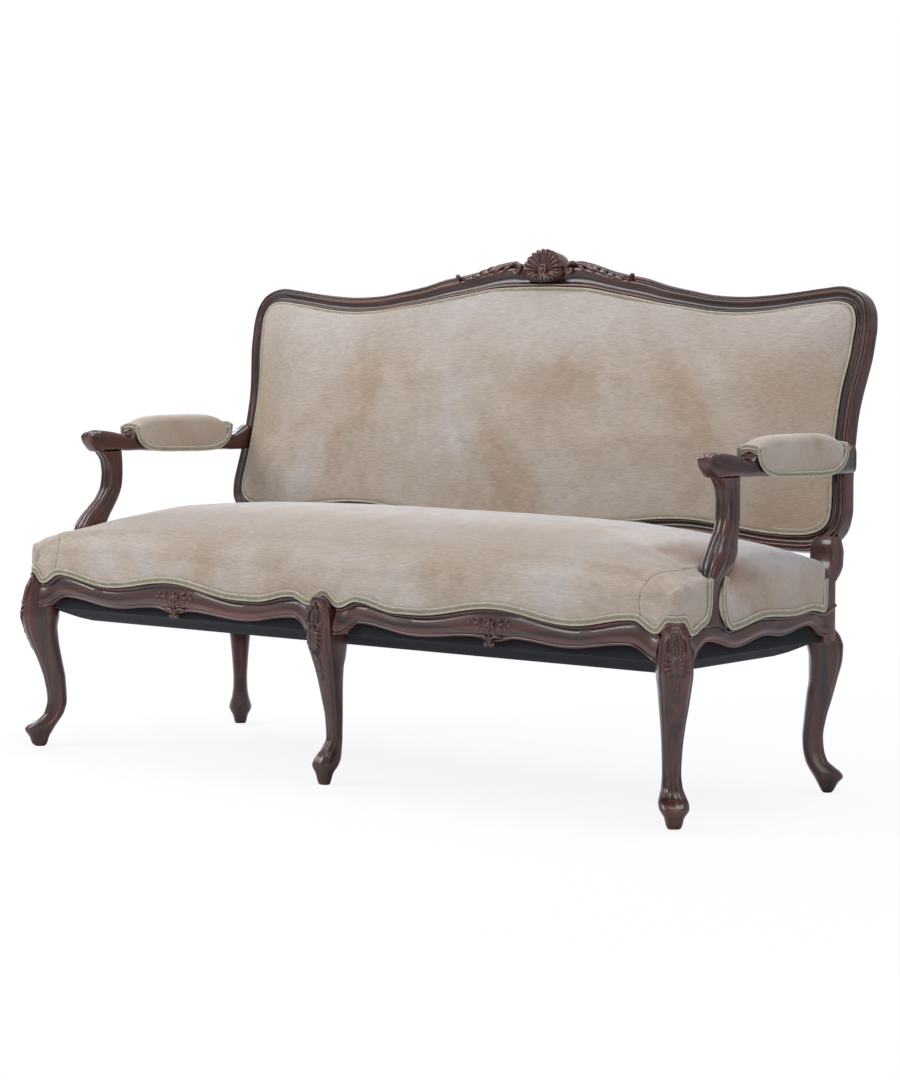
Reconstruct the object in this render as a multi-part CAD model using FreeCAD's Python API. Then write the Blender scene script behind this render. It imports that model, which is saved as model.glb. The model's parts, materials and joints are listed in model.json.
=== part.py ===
# Three-seat cabriole settee: a carved show-wood frame with sprung seat, padded back and arm pads.
# Millimetres, +Z up, +Y to the back. The origin is on the floor under the middle of the settee.
import FreeCAD, Part
import math
import os
from FreeCAD import Vector

# Overall layout
FEET_HALF_SPAN = 840.0      # middle of the settee to a front corner foot
FEET_DEPTH = 546.0          # front feet to rear feet
REAR_FEET_IN = 50.0         # a rear foot stands this much nearer the middle
FRONT_FEET_Y = -321.2       # front corner feet in the part's frame
FAR = 2000.0                # beyond the settee, for cutting shapes
MARGIN = 60.0               # cutting shapes reach this far past an edge
CENTRE_FOOT_OUT = 15.0      # the centre foot stands this far in front of the corner feet
CLEAR = 0.3                 # clearance round soft and fitted pieces
GLUE = 0.05                 # clearance round a dowel, screw or tack

# Seat frame
POST = 38.0                 # square of a front corner post
POST_OUT = 9.0              # its faces stand this far outside the foot's centre
POST_BOTTOM = 288.0
CENTRE_POST_HALF = 38.0
RAIL_THICK = 34.0
RAIL_TOP = 382.0            # straight upper edge under the fabric
RAIL_FLOOR = 300.0          # straight inner lower edge that takes the webbing
RAIL_LEDGE = 12.0           # width of that inner edge
REBATE = 6.0                # the tacking face lies this far behind the show face
BELLY = 4.0                 # swell of the show face
LIP = 7.0                   # height of the bead along the top of the show face
REAR_POST_WIDTH = 42.0
REAR_POST_DEPTH = 40.0
REAR_POST_OUT = 26.0        # its outer face outside the rear foot's centre
REAR_POST_BACK = -12.0      # its rear face against the rear foot's centre
REAR_POST_BOTTOM = 292.0
BRACE_WIDTH = 36.0
BRACE_HEIGHT = 42.0
LIP_EASE = 2.0
FOOT_EASE = 3.5             # chamfer along the lower edge of the show face
RAIL_STATIONS = 17

# Wavy edges of the show face, as places along the rail and heights
FRONT_TOP = [(38, 347), (85, 361), (190, 345), (235, 345), (431, 368), (612, 349), (762, 368), (811, 347)]
FRONT_FOOT = [(38, 294), (88, 318), (232, 303), (378, 312), (425, 306), (480, 314), (595, 306),
              (746, 320), (811, 296)]
SIDE_TOP = [(29, 343), (74, 358), (94, 378), (131, 378), (160, 343), (278, 367), (372, 353), (440, 365), (494, 350)]
SIDE_FOOT = [(29, 296), (90, 326), (186, 309), (286, 322), (340, 317), (434, 329), (494, 304)]

# Legs, as height, outward reach, inward reach and width, from the foot's centre
CORNER_LEG = [(0, 10, 9, 22), (4, 17, 13, 27), (21, 24, 19, 36), (29, 30, 24, 46), (36, 33, 28, 53),
              (44, 26, 33, 54), (57, 3, 42, 46), (71, -9, 50, 37), (96, -15, 56, 33), (138, -9, 54, 36),
              (180, 4, 47, 43), (222, 22, 40, 53), (250, 32, 38, 59), (278, 37, 42, 65), (300, 34, 40, 64),
              (327, 27, 26, 58), (348, 20, 8, 46), (366, 15, -3, 30)]
CENTRE_LEG = [(0, 8, 8, 20), (4, 11, 10, 23), (21, 15, 15, 31), (39, 21, 27, 46), (50, 17, 35, 42),
              (70, -2, 41, 31), (89, -14, 43, 28), (128, -12, 43, 31), (167, -4, 41, 38), (200, 4, 40, 44),
              (225, 11, 40, 50), (250, 20, 45, 57), (278, 30, 48, 62), (300, 30, 46, 62), (327, 26, 30, 56),
              (348, 21, 8, 46), (366, 18, -5, 30)]
REAR_LEG = [(0, 8, 8, 22), (4, 12, 11, 26), (19, 21, 19, 34), (30, 30, 25, 46), (38, 26, 30, 50),
            (48, 14, 36, 46), (62, -1, 42, 38), (86, -8, 47, 32), (105, -9, 48, 31), (143, -3, 45, 35),
            (182, 8, 41, 42), (220, 18, 36, 50), (258, 27, 36, 56), (280, 28, 40, 56), (300, 22, 46, 52),
            (318, 8, 40, 40)]
LEG_ROUNDING = 0.34         # corner radius as a share of a leg section's smaller side

# Scrolled console on the rear post, as height, then faces from the rear foot: inner, outer, front, back
CONSOLE = [(402, 16, 26, 52, 12), (418, 19, 26, 44, -3), (432, 23, 26, 33, -12), (446, 25, 25, 27, -15),
           (460, 26, 25, 25, -16), (472, 25, 24, 25, -14), (482, 22, 23, 22, -11), (492, 16, 20, 16, -8)]
CONSOLE_ROUND = 4.0

# Back frame, lying in a plane that leans back
BACK_FOOT_DEPTH = 546.0     # front face behind the front feet, at the height below
BACK_FOOT_Z = 486.0
BACK_LEAN = math.radians(11.47)
FRAME_THICK = 30.0
TACK_LEDGE = 14.0           # wood under the fabric inside the moulding
REBATE_DEPTH = 9.0          # that ledge lies this far behind the moulding
# Moulding of the frame, each point as distance from the inner edge and depth behind the face
INNER_LIP = [(0, 4), (2.5, 0.5), (6, 1)]
# The rest of it, with the distance as a share of the moulding's width
OGEE = [(0.38, 4.5), (0.58, -1), (0.82, -2), (1, 5)]

# Back frame stations, as the moulding's inner edge (x, z) and outer edge (x, z)
CREST = [((0, 965), (0, 1012)), ((60, 964), (62, 1011)), ((114, 962), (120, 1012)), ((160, 956.5), (172, 1001)),
         ((207, 949), (222, 990)), ((260, 941), (272, 982)), ((313, 932), (327, 968)), ((380, 923.5), (392, 956.5)),
         ((445, 915.5), (450, 948)), ((520, 912.5), (520, 945)), ((590, 917), (583, 948)), ((652, 925), (646, 954)),
         ((705, 931), (705, 961)), ((748, 934), (757, 964)), ((776, 926), (797, 948)), ((788, 908), (816, 922)),
         ((791, 890), (822, 890)), ((790, 868), (822, 868))]
STILE = [((790, 868), (822, 868)), ((788, 833), (820, 830)), ((783, 800), (815, 797)), ((778, 765), (809, 762)),
         ((776, 725), (805, 724)), ((776, 680), (805, 679)), ((778, 640), (807, 640)), ((781, 600), (810, 602)),
         ((785, 565), (815, 566)), ((787, 535), (818, 533)), ((783, 514), (811, 501)), ((767, 499), (786, 475)),
         ((742, 491), (748, 460)), ((725, 489), (725, 458))]
BACK_FOOT_RAIL = [((725, 489), (725, 458)), ((690, 488), (688, 459)), ((640, 489.5), (637, 461)),
                  ((580, 495.5), (580, 467)), ((520, 502), (520, 473.5)), ((455, 507), (455, 478)),
                  ((390, 505.5), (390, 477)), ((320, 499), (320, 470)), ((240, 491.5), (240, 463)),
                  ((120, 488), (120, 459.5)), ((0, 488), (0, 459))]
SHELL_LOBES = 9
SHELL_HALF = 50.0
SHELL_RISE_Z = 44.0
SHELL_Z = 998.0
SHELL_RISE = 7.0            # the carved shell stands this far in front of the moulding
SHELL_START = 8.0           # degrees from level to its first lobe
SHELL_FLUTE = 3.0           # depth of the hollows between its lobes
SHELL_BASE_HALF = 46.0
SHELL_BASE_DROP = 22.0
VOLUTE_X = 69.0
VOLUTE_Z = 1002.0
VOLUTE_RADIUS = 17.0
VOLUTE_RISE = 5.0

# Arms
SUPPORT_ROUNDING = 0.3      # corner radius as a share of a section's smaller side
ARM_ROUNDING = 0.22
ARM_JOINT_Z = 617.0         # where the arm rests on its support
# Arm support, as height, middle x, middle depth, size along y, size along x
SUPPORT = [(352, 829, 112, 76, 34), (362, 829, 112, 56, 34), (376, 829, 112, 40, 33), (400, 829, 112, 36, 32),
           (430, 830, 117, 42, 34), (448, 831, 128, 54, 40), (465, 830, 140, 64, 46), (480, 829, 150, 62, 44),
           (500, 824, 164, 54, 40), (520, 820, 177, 46, 38), (545, 817, 186, 41, 38), (570, 816, 188, 40, 38),
           (595, 816, 186, 43, 39), (617, 817, 178, 58, 40)]
# Arm rest, as depth, lower z, upper z, width, middle x
ARM = [(113, 643, 655, 28, 817), (122, 628, 661, 36, 817), (136, 617, 663, 41, 817), (165, 617, 661, 43, 818),
       (200, 617, 655, 42, 819), (232, 616, 650, 40, 820), (244, 616, 655, 40, 820), (252, 616, 662, 40, 820),
       (330, 614, 662, 40, 820), (430, 612, 662, 40, 820), (500, 610, 660, 40, 820), (520, 610, 655, 39, 819),
       (534, 609, 646, 38, 817), (556, 609, 652, 38, 811), (590, 609, 668, 38, 806)]
PAD_FRONT = 250.0           # arm pad, from and to these depths behind the front feet
PAD_BACK = 526.0
PAD_SEAT = 662.0            # the arm's flat top under the pad
PAD_PROUD = 3.0             # the pad's cover stands this far outside the arm's sides
PAD_RISE = 28.0
PAD_SKIRT = 616.0           # the pad cover reaches down the arm to here
PAD_X = 820.0               # middle of a pad from the middle of the settee
PAD_SHOULDER = 14.0         # height of the pad's rounded shoulder
PAD_SHOULDER_AT = (0.74, 0.28)      # its middle, as shares of the half width and of that height

# Upholstery
COVER_PROUD = 6.0           # the cover stands this far outside the show face
COVER_THICK = 2.5
CORNER_ROUND = 26.0
SEAT_BACK_DEPTH = 540.0
SEAT_EDGE_Z = 424.0         # top of the seat's upright sides
# Seat crown along the settee, as x and top height, from the middle outwards
SEAT_CROWN = [(0, 516), (300, 514), (550, 505), (700, 491), (790, 474), (835, 456), (862, 440)]
CROWN_DEPTH = 265.0         # the crown's highest line behind the front feet
# Crown across the settee, as distance from the front edge, the highest line or the back edge, and share of the rise
CROWN_FRONT = [(15, 0.30), (45, 0.50)]
CROWN_TOP = [(-130, 0.90), (0, 1.0), (130, 0.88)]
CROWN_BACK = [(30, 0.40), (8, 0.20)]
EDGE_DROP = 4.0             # the upright sides end this far below their top corner
KNEE_TOP = 368.0            # the cover's lower edge over a knee
KNEE_REACH = 25.0           # from the valley beside a knee to that height
GIMP_HEIGHT = 11.0
GIMP_THICK = 2.0
BACK_DOME = 20.0            # swell of the padded back
BACK_EDGE = 3.0             # the stuffing stays this far inside the cover's edge
BACK_SWELL = [(22, 0.34), (60, 0.68), (110, 0.88), (165, 1.0)]     # inset and share of the swell
BACK_WEBS_X = [90, 270, 450, 640]
BACK_WEBS_Z = [585, 700, 815]
WEB_INSET = 2.0
BACK_TUCK = 22.0            # the seat cover reaches this far down the rear rail
POST_GAP = 1.0              # slack of the cover round a post
PAD_WOOD = 40.0             # width of the arm under its pad
PAD_SWELL = [(0.0, 0.22, 0.86), (0.05, 0.52, 0.94), (0.14, 0.82, 1.0), (0.30, 0.98, 1.03), (0.65, 1.0, 1.03),
             (0.86, 0.82, 1.0), (0.96, 0.5, 0.94), (1.0, 0.16, 0.86)]  # share of length, of rise, of width

# Springs and webbing
WEB_WIDTH = 50.0
WEB_THICK = 2.0
WEB_SAG = 28.0
WEB_SLOPE = 50.0
WEB_REACH = 10.0            # how far a web lies on its rail
CROSS_WEBS = [80, 240, 400, 560, 715]
LONG_WEBS = [112, 187, 262, 337, 412]
SPRING_ROWS = [187, 337]
SPRING_RADIUS = 36.0
SPRING_WIRE = 4.0
SPRING_TURNS = 5
HESSIAN_Z = 420.0
HESSIAN_THICK = 1.5
HESSIAN_SLOPE = 46.0
HESSIAN_LAP = 10.0          # the hessian lies this far on the rails
DUST_THICK = 1.2
DUST_RINGS = [(259, -150), (261, -85), (265, -52), (281, -14), (296.4, 8)]   # height, and lap on the rails

# Joinery
DOWEL_RADIUS = 5.0
DOWEL_LENGTH = 44.0
DOWEL_Z = 320.0             # the lowest dowels of the seat frame
DOWEL_PITCH = 32.0
BACK_DOWEL_SHARES = (0.15, 0.68)    # across the moulding, from its inner edge
CONSOLE_TOP_Z = 488.0       # dowel between rear post and stile
SUPPORT_FOOT_Z = 358.0
ARM_STILE_X = 800.0         # dowel between arm and stile
BLOCK_LEG = 62.0            # corner block, along each rail
BLOCK_HEIGHT = 48.0
BLOCK_TOE = 10.0
BLOCK_SCREW_AT = 0.62       # share of its leg where a screw stands
SCREW_RADIUS = 2.5
SCREW_LENGTH = 44.0
SCREW_HEAD = 5.0
SCREW_CAP = 3.0
SCREW_SINK = 4.0
TACK_RADIUS = 1.0
TACK_HEAD = 3.2
TACK_LENGTH = 12.0
TACK_CAP = 1.0

FOOT_RAIL_X = FEET_HALF_SPAN + POST_OUT - POST       # inner face of a front corner post
SIDE_FACE_X = FEET_HALF_SPAN + POST_OUT              # outer face of that post
REAR_FOOT_X = FEET_HALF_SPAN - REAR_FEET_IN
REAR_FACE_X = REAR_FOOT_X + REAR_POST_OUT
REAR_POST_FRONT = FEET_DEPTH + REAR_POST_BACK - REAR_POST_DEPTH
SHOW_Y = -POST_OUT                                    # front show face against the front feet
INNER_Y = SHOW_Y + RAIL_THICK
POST_BACK = SHOW_Y + POST
REAR_RAIL_BACK = FEET_DEPTH + REAR_POST_BACK
REAR_RAIL_FRONT = REAR_RAIL_BACK - RAIL_THICK
SIDE_LEAN = (SIDE_FACE_X - REAR_FACE_X) / (REAR_POST_FRONT - POST_BACK)
WEB_LEVEL = RAIL_FLOOR - WEB_SAG
OUT = "parts"


def at(x, depth, z):
    """A point from its depth behind the front feet."""
    return Vector(x, FRONT_FEET_Y + depth, z)


def box(x0, x1, d0, d1, z0, z1):
    return Part.makeBox(x1 - x0, d1 - d0, z1 - z0, at(x0, d0, z0))


def outline(start, *steps):
    """A closed wire of lines to points, and arcs given as (middle, end)."""
    edges = []
    here = start
    for step in steps:
        if isinstance(step, tuple):
            edges.append(Part.Arc(here, step[0], step[1]).toShape())
            here = step[1]
        else:
            edges.append(Part.LineSegment(here, step).toShape())
            here = step
    if here.distanceToPoint(start) > 1e-6:
        edges.append(Part.LineSegment(here, start).toShape())
    return Part.Wire(edges)


def rounded(middle, u, v, half_u, half_v, radius):
    """A rounded rectangle round a middle point, along the directions u and v."""
    turn = radius * (1 - math.sqrt(0.5))
    steps = []
    for su, sv, first in ((1, 1, "u"), (-1, 1, "v"), (-1, -1, "u"), (1, -1, "v")):
        corner_u = middle + u * (su * half_u) + v * (sv * (half_v - radius))
        corner_v = middle + u * (su * (half_u - radius)) + v * (sv * half_v)
        mid = middle + u * (su * (half_u - turn)) + v * (sv * (half_v - turn))
        a, b = (corner_u, corner_v) if first == "u" else (corner_v, corner_u)
        steps += [a, (mid, b)]
    return outline(steps[-1][1], *steps)


def loft(wires):
    solid = Part.makeLoft(wires, True, False)
    if solid.Volume < 0:
        solid.reverse()
    return solid


def largest(shape):
    """The biggest solid of a shape, without slivers that a cut leaves."""
    return max(shape.Solids, key=lambda solid: solid.Volume)


def mirrored(shape):
    return shape.mirror(Vector(0, 0, 0), Vector(1, 0, 0))


def wave(extremes, t):
    """Height at t on a smooth wave through its highest and lowest points."""
    if t <= extremes[0][0]:
        return float(extremes[0][1])
    for (a, za), (b, zb) in zip(extremes, extremes[1:]):
        if t <= b:
            return za + (zb - za) * (1 - math.cos(math.pi * (t - a) / (b - a))) / 2
    return float(extremes[-1][1])


def stations(start, end, count):
    return [start + (end - start) * i / (count - 1) for i in range(count)]


def cylinder(start, end, radius):
    return Part.makeCylinder(radius, (end - start).Length, start, end - start)


def dowel(place, grow=0.0):
    """A dowel, or with some growth the hole for it, from its middle and direction."""
    middle, along = place
    half = Vector(along).normalize() * (DOWEL_LENGTH / 2 + grow)
    return cylinder(middle - half, middle + half, DOWEL_RADIUS + grow)


def bored(shape, tools):
    """A shape without the tools that reach it."""
    near = [tool for tool in tools if shape.BoundBox.intersect(tool.BoundBox)]
    return shape.cut(near) if near else shape


def side_face(depth):
    """x of the side rail's show face at a depth behind the front feet."""
    return SIDE_FACE_X - SIDE_LEAN * (depth - POST_BACK)


# Legs

def leg(profile, foot_x, foot_depth, out_x, out_y):
    """A cabriole leg that faces the direction (out_x, out_y)."""
    out = Vector(out_x, out_y, 0).normalize()
    across = Vector(-out.y, out.x, 0)
    wires = []
    for z, reach, back, width in profile:
        middle = at(foot_x, foot_depth, z) + out * ((reach - back) / 2.0)
        depth = reach + back
        radius = LEG_ROUNDING * min(depth, width)
        wires.append(rounded(middle, out, across, depth / 2.0, width / 2.0, radius))
    return loft(wires)


def front_corner_leg():
    body = leg(CORNER_LEG, FEET_HALF_SPAN, 0, 1, -1)
    post = box(FOOT_RAIL_X, SIDE_FACE_X, SHOW_Y, POST_BACK, POST_BOTTOM, RAIL_TOP)
    rebate = box(FOOT_RAIL_X, SIDE_FACE_X - REBATE, SHOW_Y + REBATE, POST_BACK, POST_BOTTOM, RAIL_TOP)
    show = box(FOOT_RAIL_X, SIDE_FACE_X, SHOW_Y, POST_BACK, POST_BOTTOM, FRONT_TOP[-1][1])
    return body.fuse(post.common(rebate.fuse(show))).removeSplitter()


def centre_leg():
    body = leg(CENTRE_LEG, 0, -CENTRE_FOOT_OUT, 0, -1)
    show = box(-CENTRE_POST_HALF, CENTRE_POST_HALF, SHOW_Y, INNER_Y, POST_BOTTOM, FRONT_TOP[0][1])
    rebate = box(-CENTRE_POST_HALF, CENTRE_POST_HALF, SHOW_Y + REBATE, INNER_Y, POST_BOTTOM, RAIL_TOP)
    return body.fuse(show.fuse(rebate)).removeSplitter()


def rear_leg(stile_solid):
    body = leg(REAR_LEG, REAR_FOOT_X, FEET_DEPTH, 1, 1)
    wires = []
    for z, inner, outer, front, back in CONSOLE:
        half_x = (inner + outer) / 2.0
        half_y = (front - back) / 2.0
        middle = at(REAR_FOOT_X + outer - half_x, FEET_DEPTH - back - half_y, z)
        wires.append(rounded(middle, Vector(1, 0, 0), Vector(0, 1, 0), half_x, half_y, CONSOLE_ROUND))
    post = Part.Face(wires[0]).extrude(Vector(0, 0, REAR_POST_BOTTOM - CONSOLE[0][0]))
    return largest(body.fuse(post).fuse(loft(wires)).cut(stile_solid).removeSplitter())


# Seat rails

def rail_section(origin, outward, top, foot):
    """Section of a seat rail: swelled show face, top bead and tacking face."""
    def p(depth, z):
        return Vector(origin.x - outward.x * depth, origin.y - outward.y * depth, z)
    middle = (top + foot) / 2.0
    return outline(p(0, foot + FOOT_EASE), (p(-BELLY, middle), p(0, top - LIP)),
                   (p(-BELLY, top - LIP / 2), p(LIP_EASE, top)), p(REBATE, top), p(REBATE, RAIL_TOP),
                   p(RAIL_THICK, RAIL_TOP), p(RAIL_THICK, foot), p(FOOT_EASE, foot))


def front_rail():
    wires = []
    for x in stations(CENTRE_POST_HALF, FOOT_RAIL_X, RAIL_STATIONS):
        wires.append(rail_section(at(x, SHOW_Y, 0), Vector(0, -1, 0), wave(FRONT_TOP, x), wave(FRONT_FOOT, x)))
    ledge = box(CENTRE_POST_HALF, FOOT_RAIL_X, INNER_Y - RAIL_LEDGE, INNER_Y, RAIL_FLOOR, RAIL_TOP)
    return loft(wires).fuse(ledge).removeSplitter()


def side_rail():
    """A side rail, notched over its whole thickness where the arm support stands on it."""
    wires = []
    outward = Vector(1, SIDE_LEAN, 0).normalize()
    for depth in stations(POST_BACK, REAR_POST_FRONT, RAIL_STATIONS):
        top = wave(rail_side_top(), depth)
        wires.append(rail_section(at(side_face(depth), depth, 0), outward, top, wave(SIDE_FOOT, depth)))
    ledge = side_band(RAIL_THICK - RAIL_LEDGE, RAIL_THICK, RAIL_FLOOR, RAIL_TOP)
    room = box(0, FAR, POST_BACK, REAR_POST_FRONT, 0, RAIL_TOP)
    z, _, depth, along, _ = SUPPORT[0]
    notch = box(0, FAR, depth - along / 2.0 - CLEAR, depth + along / 2.0 + CLEAR, z, RAIL_TOP + MARGIN)
    return loft(wires).fuse(ledge).common(room).cut(notch).removeSplitter()


def rear_rail():
    inner = REAR_FOOT_X + REAR_POST_OUT - REAR_POST_WIDTH
    return box(-inner, inner, REAR_RAIL_FRONT, REAR_RAIL_BACK, RAIL_FLOOR, RAIL_TOP)


def centre_brace():
    return box(-BRACE_WIDTH / 2, BRACE_WIDTH / 2, INNER_Y, REAR_RAIL_FRONT, RAIL_FLOOR, RAIL_FLOOR + BRACE_HEIGHT)


# Back frame

def back_point(x, z, w=0.0):
    """A point of the leaning back: x and z on its front face, w through its thickness."""
    depth = BACK_FOOT_DEPTH + (z - BACK_FOOT_Z) * math.tan(BACK_LEAN)
    return at(x, depth + w * math.cos(BACK_LEAN), z - w * math.sin(BACK_LEAN))


def moulding(inner, outer):
    """Section of the back frame from its inner to its outer edge, with its tacking ledge."""
    width = math.hypot(outer[0] - inner[0], outer[1] - inner[1])
    ux = (outer[0] - inner[0]) / width
    uz = (outer[1] - inner[1]) / width

    def p(s, w):
        return back_point(inner[0] + ux * s, inner[1] + uz * s, w)
    lip = [p(s, w) for s, w in INNER_LIP]
    ogee = [p(s * width, w) for s, w in OGEE]
    return outline(lip[0], (lip[1], lip[2]), (ogee[0], ogee[1]), (ogee[2], ogee[3]), p(width, FRAME_THICK),
                   p(-TACK_LEDGE, FRAME_THICK), p(-TACK_LEDGE, REBATE_DEPTH), p(0, REBATE_DEPTH))


def both_ways(half):
    """A station list of one half, from the middle outwards, made whole."""
    left = [((-a[0], a[1]), (-b[0], b[1])) for a, b in reversed(half[1:])]
    return left + half


def crest_rail():
    rail = loft([moulding(a, b) for a, b in both_ways(CREST)])
    points = []
    for i, degrees in enumerate(stations(SHELL_START, 180 - SHELL_START, 2 * SHELL_LOBES + 1)):
        angle = math.radians(degrees)
        flute = 0.0 if i % 2 else SHELL_FLUTE
        points.append(((SHELL_HALF - flute) * math.cos(angle), SHELL_Z + (SHELL_RISE_Z - flute) * math.sin(angle)))
    base = [(side * SHELL_BASE_HALF, SHELL_Z - SHELL_BASE_DROP) for side in (-1, 1)]
    front = [back_point(x, z, -SHELL_RISE) for x, z in points + base]
    shell = Part.Face(Part.makePolygon(front + front[:1]))
    normal = back_point(0, 0, 1) - back_point(0, 0, 0)
    carved = [shell.extrude(normal * (FRAME_THICK + SHELL_RISE))]
    for side in (-1, 1):
        carved.append(cylinder(back_point(side * VOLUTE_X, VOLUTE_Z, -VOLUTE_RISE),
                               back_point(side * VOLUTE_X, VOLUTE_Z, FRAME_THICK - VOLUTE_RISE), VOLUTE_RADIUS))
    return rail.multiFuse(carved).removeSplitter()


def stile():
    return loft([moulding(a, b) for a, b in STILE])


def back_foot_rail():
    half = list(reversed(BACK_FOOT_RAIL))
    return loft([moulding(a, b) for a, b in both_ways(half)])


def back_outline(inset):
    """Points of the frame's opening, moved inwards, from the crest round to the foot rail."""
    half = [a for a, b in CREST] + [a for a, b in STILE[1:]] + [a for a, b in BACK_FOOT_RAIL[1:]]
    cx, cz = 0.0, (half[0][1] + half[-1][1]) / 2.0
    moved = []
    for i, (x, z) in enumerate(half):
        before = half[max(i - 1, 0)]
        after = half[min(i + 1, len(half) - 1)]
        tx, tz = after[0] - before[0], after[1] - before[1]
        size = math.hypot(tx, tz)
        nx, nz = tz / size, -tx / size
        if nx * (cx - x) + nz * (cz - z) < 0:
            nx, nz = -nx, -nz
        moved.append((max(x + nx * inset, 0.0), z + nz * inset))
    moved[0] = (0.0, moved[0][1])
    moved[-1] = (0.0, moved[-1][1])
    return moved


def back_ring(inset, w, shrink=0.0):
    """Closed curve inside the frame's opening; shrink draws it towards the middle."""
    half = back_outline(inset)
    low, high = half[-1][1], half[0][1]
    mid_z = (low + high) / 2.0
    kx = 1 - shrink / half[len(CREST) - 1][0]
    kz = 1 - shrink / (high - mid_z)
    moved = [(x * kx, mid_z + (z - mid_z) * kz) for x, z in half]
    right = [back_point(x, z, w) for x, z in moved]
    left = [back_point(-x, z, w) for x, z in reversed(moved[1:-1])]
    curve = Part.BSplineCurve()
    curve.interpolate(Points=right + left, PeriodicFlag=True)
    return Part.Wire([curve.toShape()])


def back_plate(inset, w0, w1):
    """A flat layer inside the frame's opening, between two depths through the back."""
    return Part.Face(back_ring(inset, w0)).extrude(back_point(0, 0, w1) - back_point(0, 0, w0))


def back_pad(inset, w_back, w_edge, dome):
    """The padded back: a flat back and a swelled front."""
    rings = [back_ring(inset, w_edge)]
    for shrink, rise in BACK_SWELL:
        rings.append(back_ring(inset, w_edge - dome * rise, shrink))
    return loft(rings).fuse(back_plate(inset, w_back, w_edge))


def back_band(x0, x1, z0, z1, w0, w1):
    band = box(x0, x1, 0, FAR, z0, z1)
    return back_plate(WEB_INSET, w0, w1).common(band)


def back_webbing():
    bands = []
    w_ledge = REBATE_DEPTH - CLEAR
    half = WEB_WIDTH / 2.0
    for x in BACK_WEBS_X:
        for side in (-1, 1):
            bands.append(back_band(side * x - half, side * x + half, 0, FAR, w_ledge - WEB_THICK, w_ledge))
    for z in BACK_WEBS_Z:
        bands.append(back_band(-FAR, FAR, z - half, z + half, w_ledge - 2 * WEB_THICK, w_ledge - WEB_THICK))
    return Part.makeCompound(bands)


def back_layers():
    """Webbing, stuffing, cover and braid in the frame's opening, and the cloth behind."""
    w_pad = REBATE_DEPTH - CLEAR - 2 * WEB_THICK
    stuffing = back_pad(BACK_EDGE + CLEAR, w_pad - CLEAR, 0, BACK_DOME - COVER_THICK)
    outer = back_pad(CLEAR, w_pad - CLEAR, -COVER_THICK - CLEAR, BACK_DOME - CLEAR)
    inner = back_pad(BACK_EDGE, w_pad + COVER_THICK, -CLEAR, BACK_DOME - COVER_THICK)
    cover = outer.cut(inner)
    w_gimp = -COVER_THICK - 2 * CLEAR
    hole = back_plate(GIMP_HEIGHT, w_gimp - FRAME_THICK, w_gimp + FRAME_THICK)
    gimp = back_plate(CLEAR, w_gimp - GIMP_THICK, w_gimp).cut(hole)
    gimp = gimp.cut(outer)
    outside = back_plate(CLEAR, FRAME_THICK, FRAME_THICK + DUST_THICK)
    w_out = FRAME_THICK + DUST_THICK
    hole = back_plate(GIMP_HEIGHT, w_out - FRAME_THICK, w_out + FRAME_THICK)
    border = back_plate(CLEAR, w_out, w_out + GIMP_THICK).cut(hole)
    return [("back_webbing", back_webbing()), ("back_stuffing", stuffing), ("back_cover", cover),
            ("back_gimp", gimp), ("back_outside_cloth", outside), ("back_outside_gimp", border)]


# Arms

def arm_support(grow=0.0):
    """The S-curved support of an arm; grow widens it all round."""
    wires = []
    for z, x, depth, along, across in SUPPORT:
        radius = SUPPORT_ROUNDING * min(along, across)
        wires.append(rounded(at(x, depth, z), Vector(1, 0, 0), Vector(0, 1, 0), (across + grow) / 2.0,
                             (along + grow) / 2.0, radius))
    return loft(wires)


def arm_rest(stile_solid):
    wires = []
    for depth, low, high, width, x in ARM:
        radius = ARM_ROUNDING * min(width, high - low)
        middle = at(x, depth, (low + high) / 2.0)
        wires.append(rounded(middle, Vector(1, 0, 0), Vector(0, 0, 1), width / 2.0, (high - low) / 2.0, radius))
    return loft(wires).cut(stile_solid)


def pad_form(inset):
    """The arm pad's outer form, drawn in by an inset all round."""
    wires = []
    length = PAD_BACK - PAD_FRONT - 2 * inset
    for share, rise, half in PAD_SWELL:
        depth = PAD_FRONT + inset + length * share
        top = PAD_SEAT + PAD_RISE * rise - inset
        hw = (PAD_WOOD / 2.0 + PAD_PROUD) * half - inset
        shoulder = min(PAD_SHOULDER, top - PAD_SEAT + PAD_PROUD)
        side, drop = PAD_SHOULDER_AT

        def p(dx, z):
            return at(PAD_X + dx, depth, z)
        wires.append(outline(p(-hw, PAD_SKIRT), p(hw, PAD_SKIRT), p(hw, top - shoulder),
                             (p(side * hw, top - drop * shoulder), p(0, top)),
                             (p(-side * hw, top - drop * shoulder), p(-hw, top - shoulder))))
    return loft(wires)


def arm_pad(wood):
    """Stuffing, cover and braid of one arm pad."""
    inner = pad_form(COVER_THICK)
    below = box(0, FAR, 0, FAR, 0, PAD_SEAT + CLEAR)
    stuffing = pad_form(COVER_THICK + CLEAR).cut(below).cut(wood)
    cover = pad_form(0).cut(inner).cut(wood)
    band = box(0, FAR, 0, FAR, PAD_SKIRT, PAD_SKIRT + GIMP_HEIGHT)
    gimp = pad_form(-GIMP_THICK).common(band).cut(pad_form(0)).cut(wood)
    return stuffing, cover, gimp


# Seat upholstery

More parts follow.
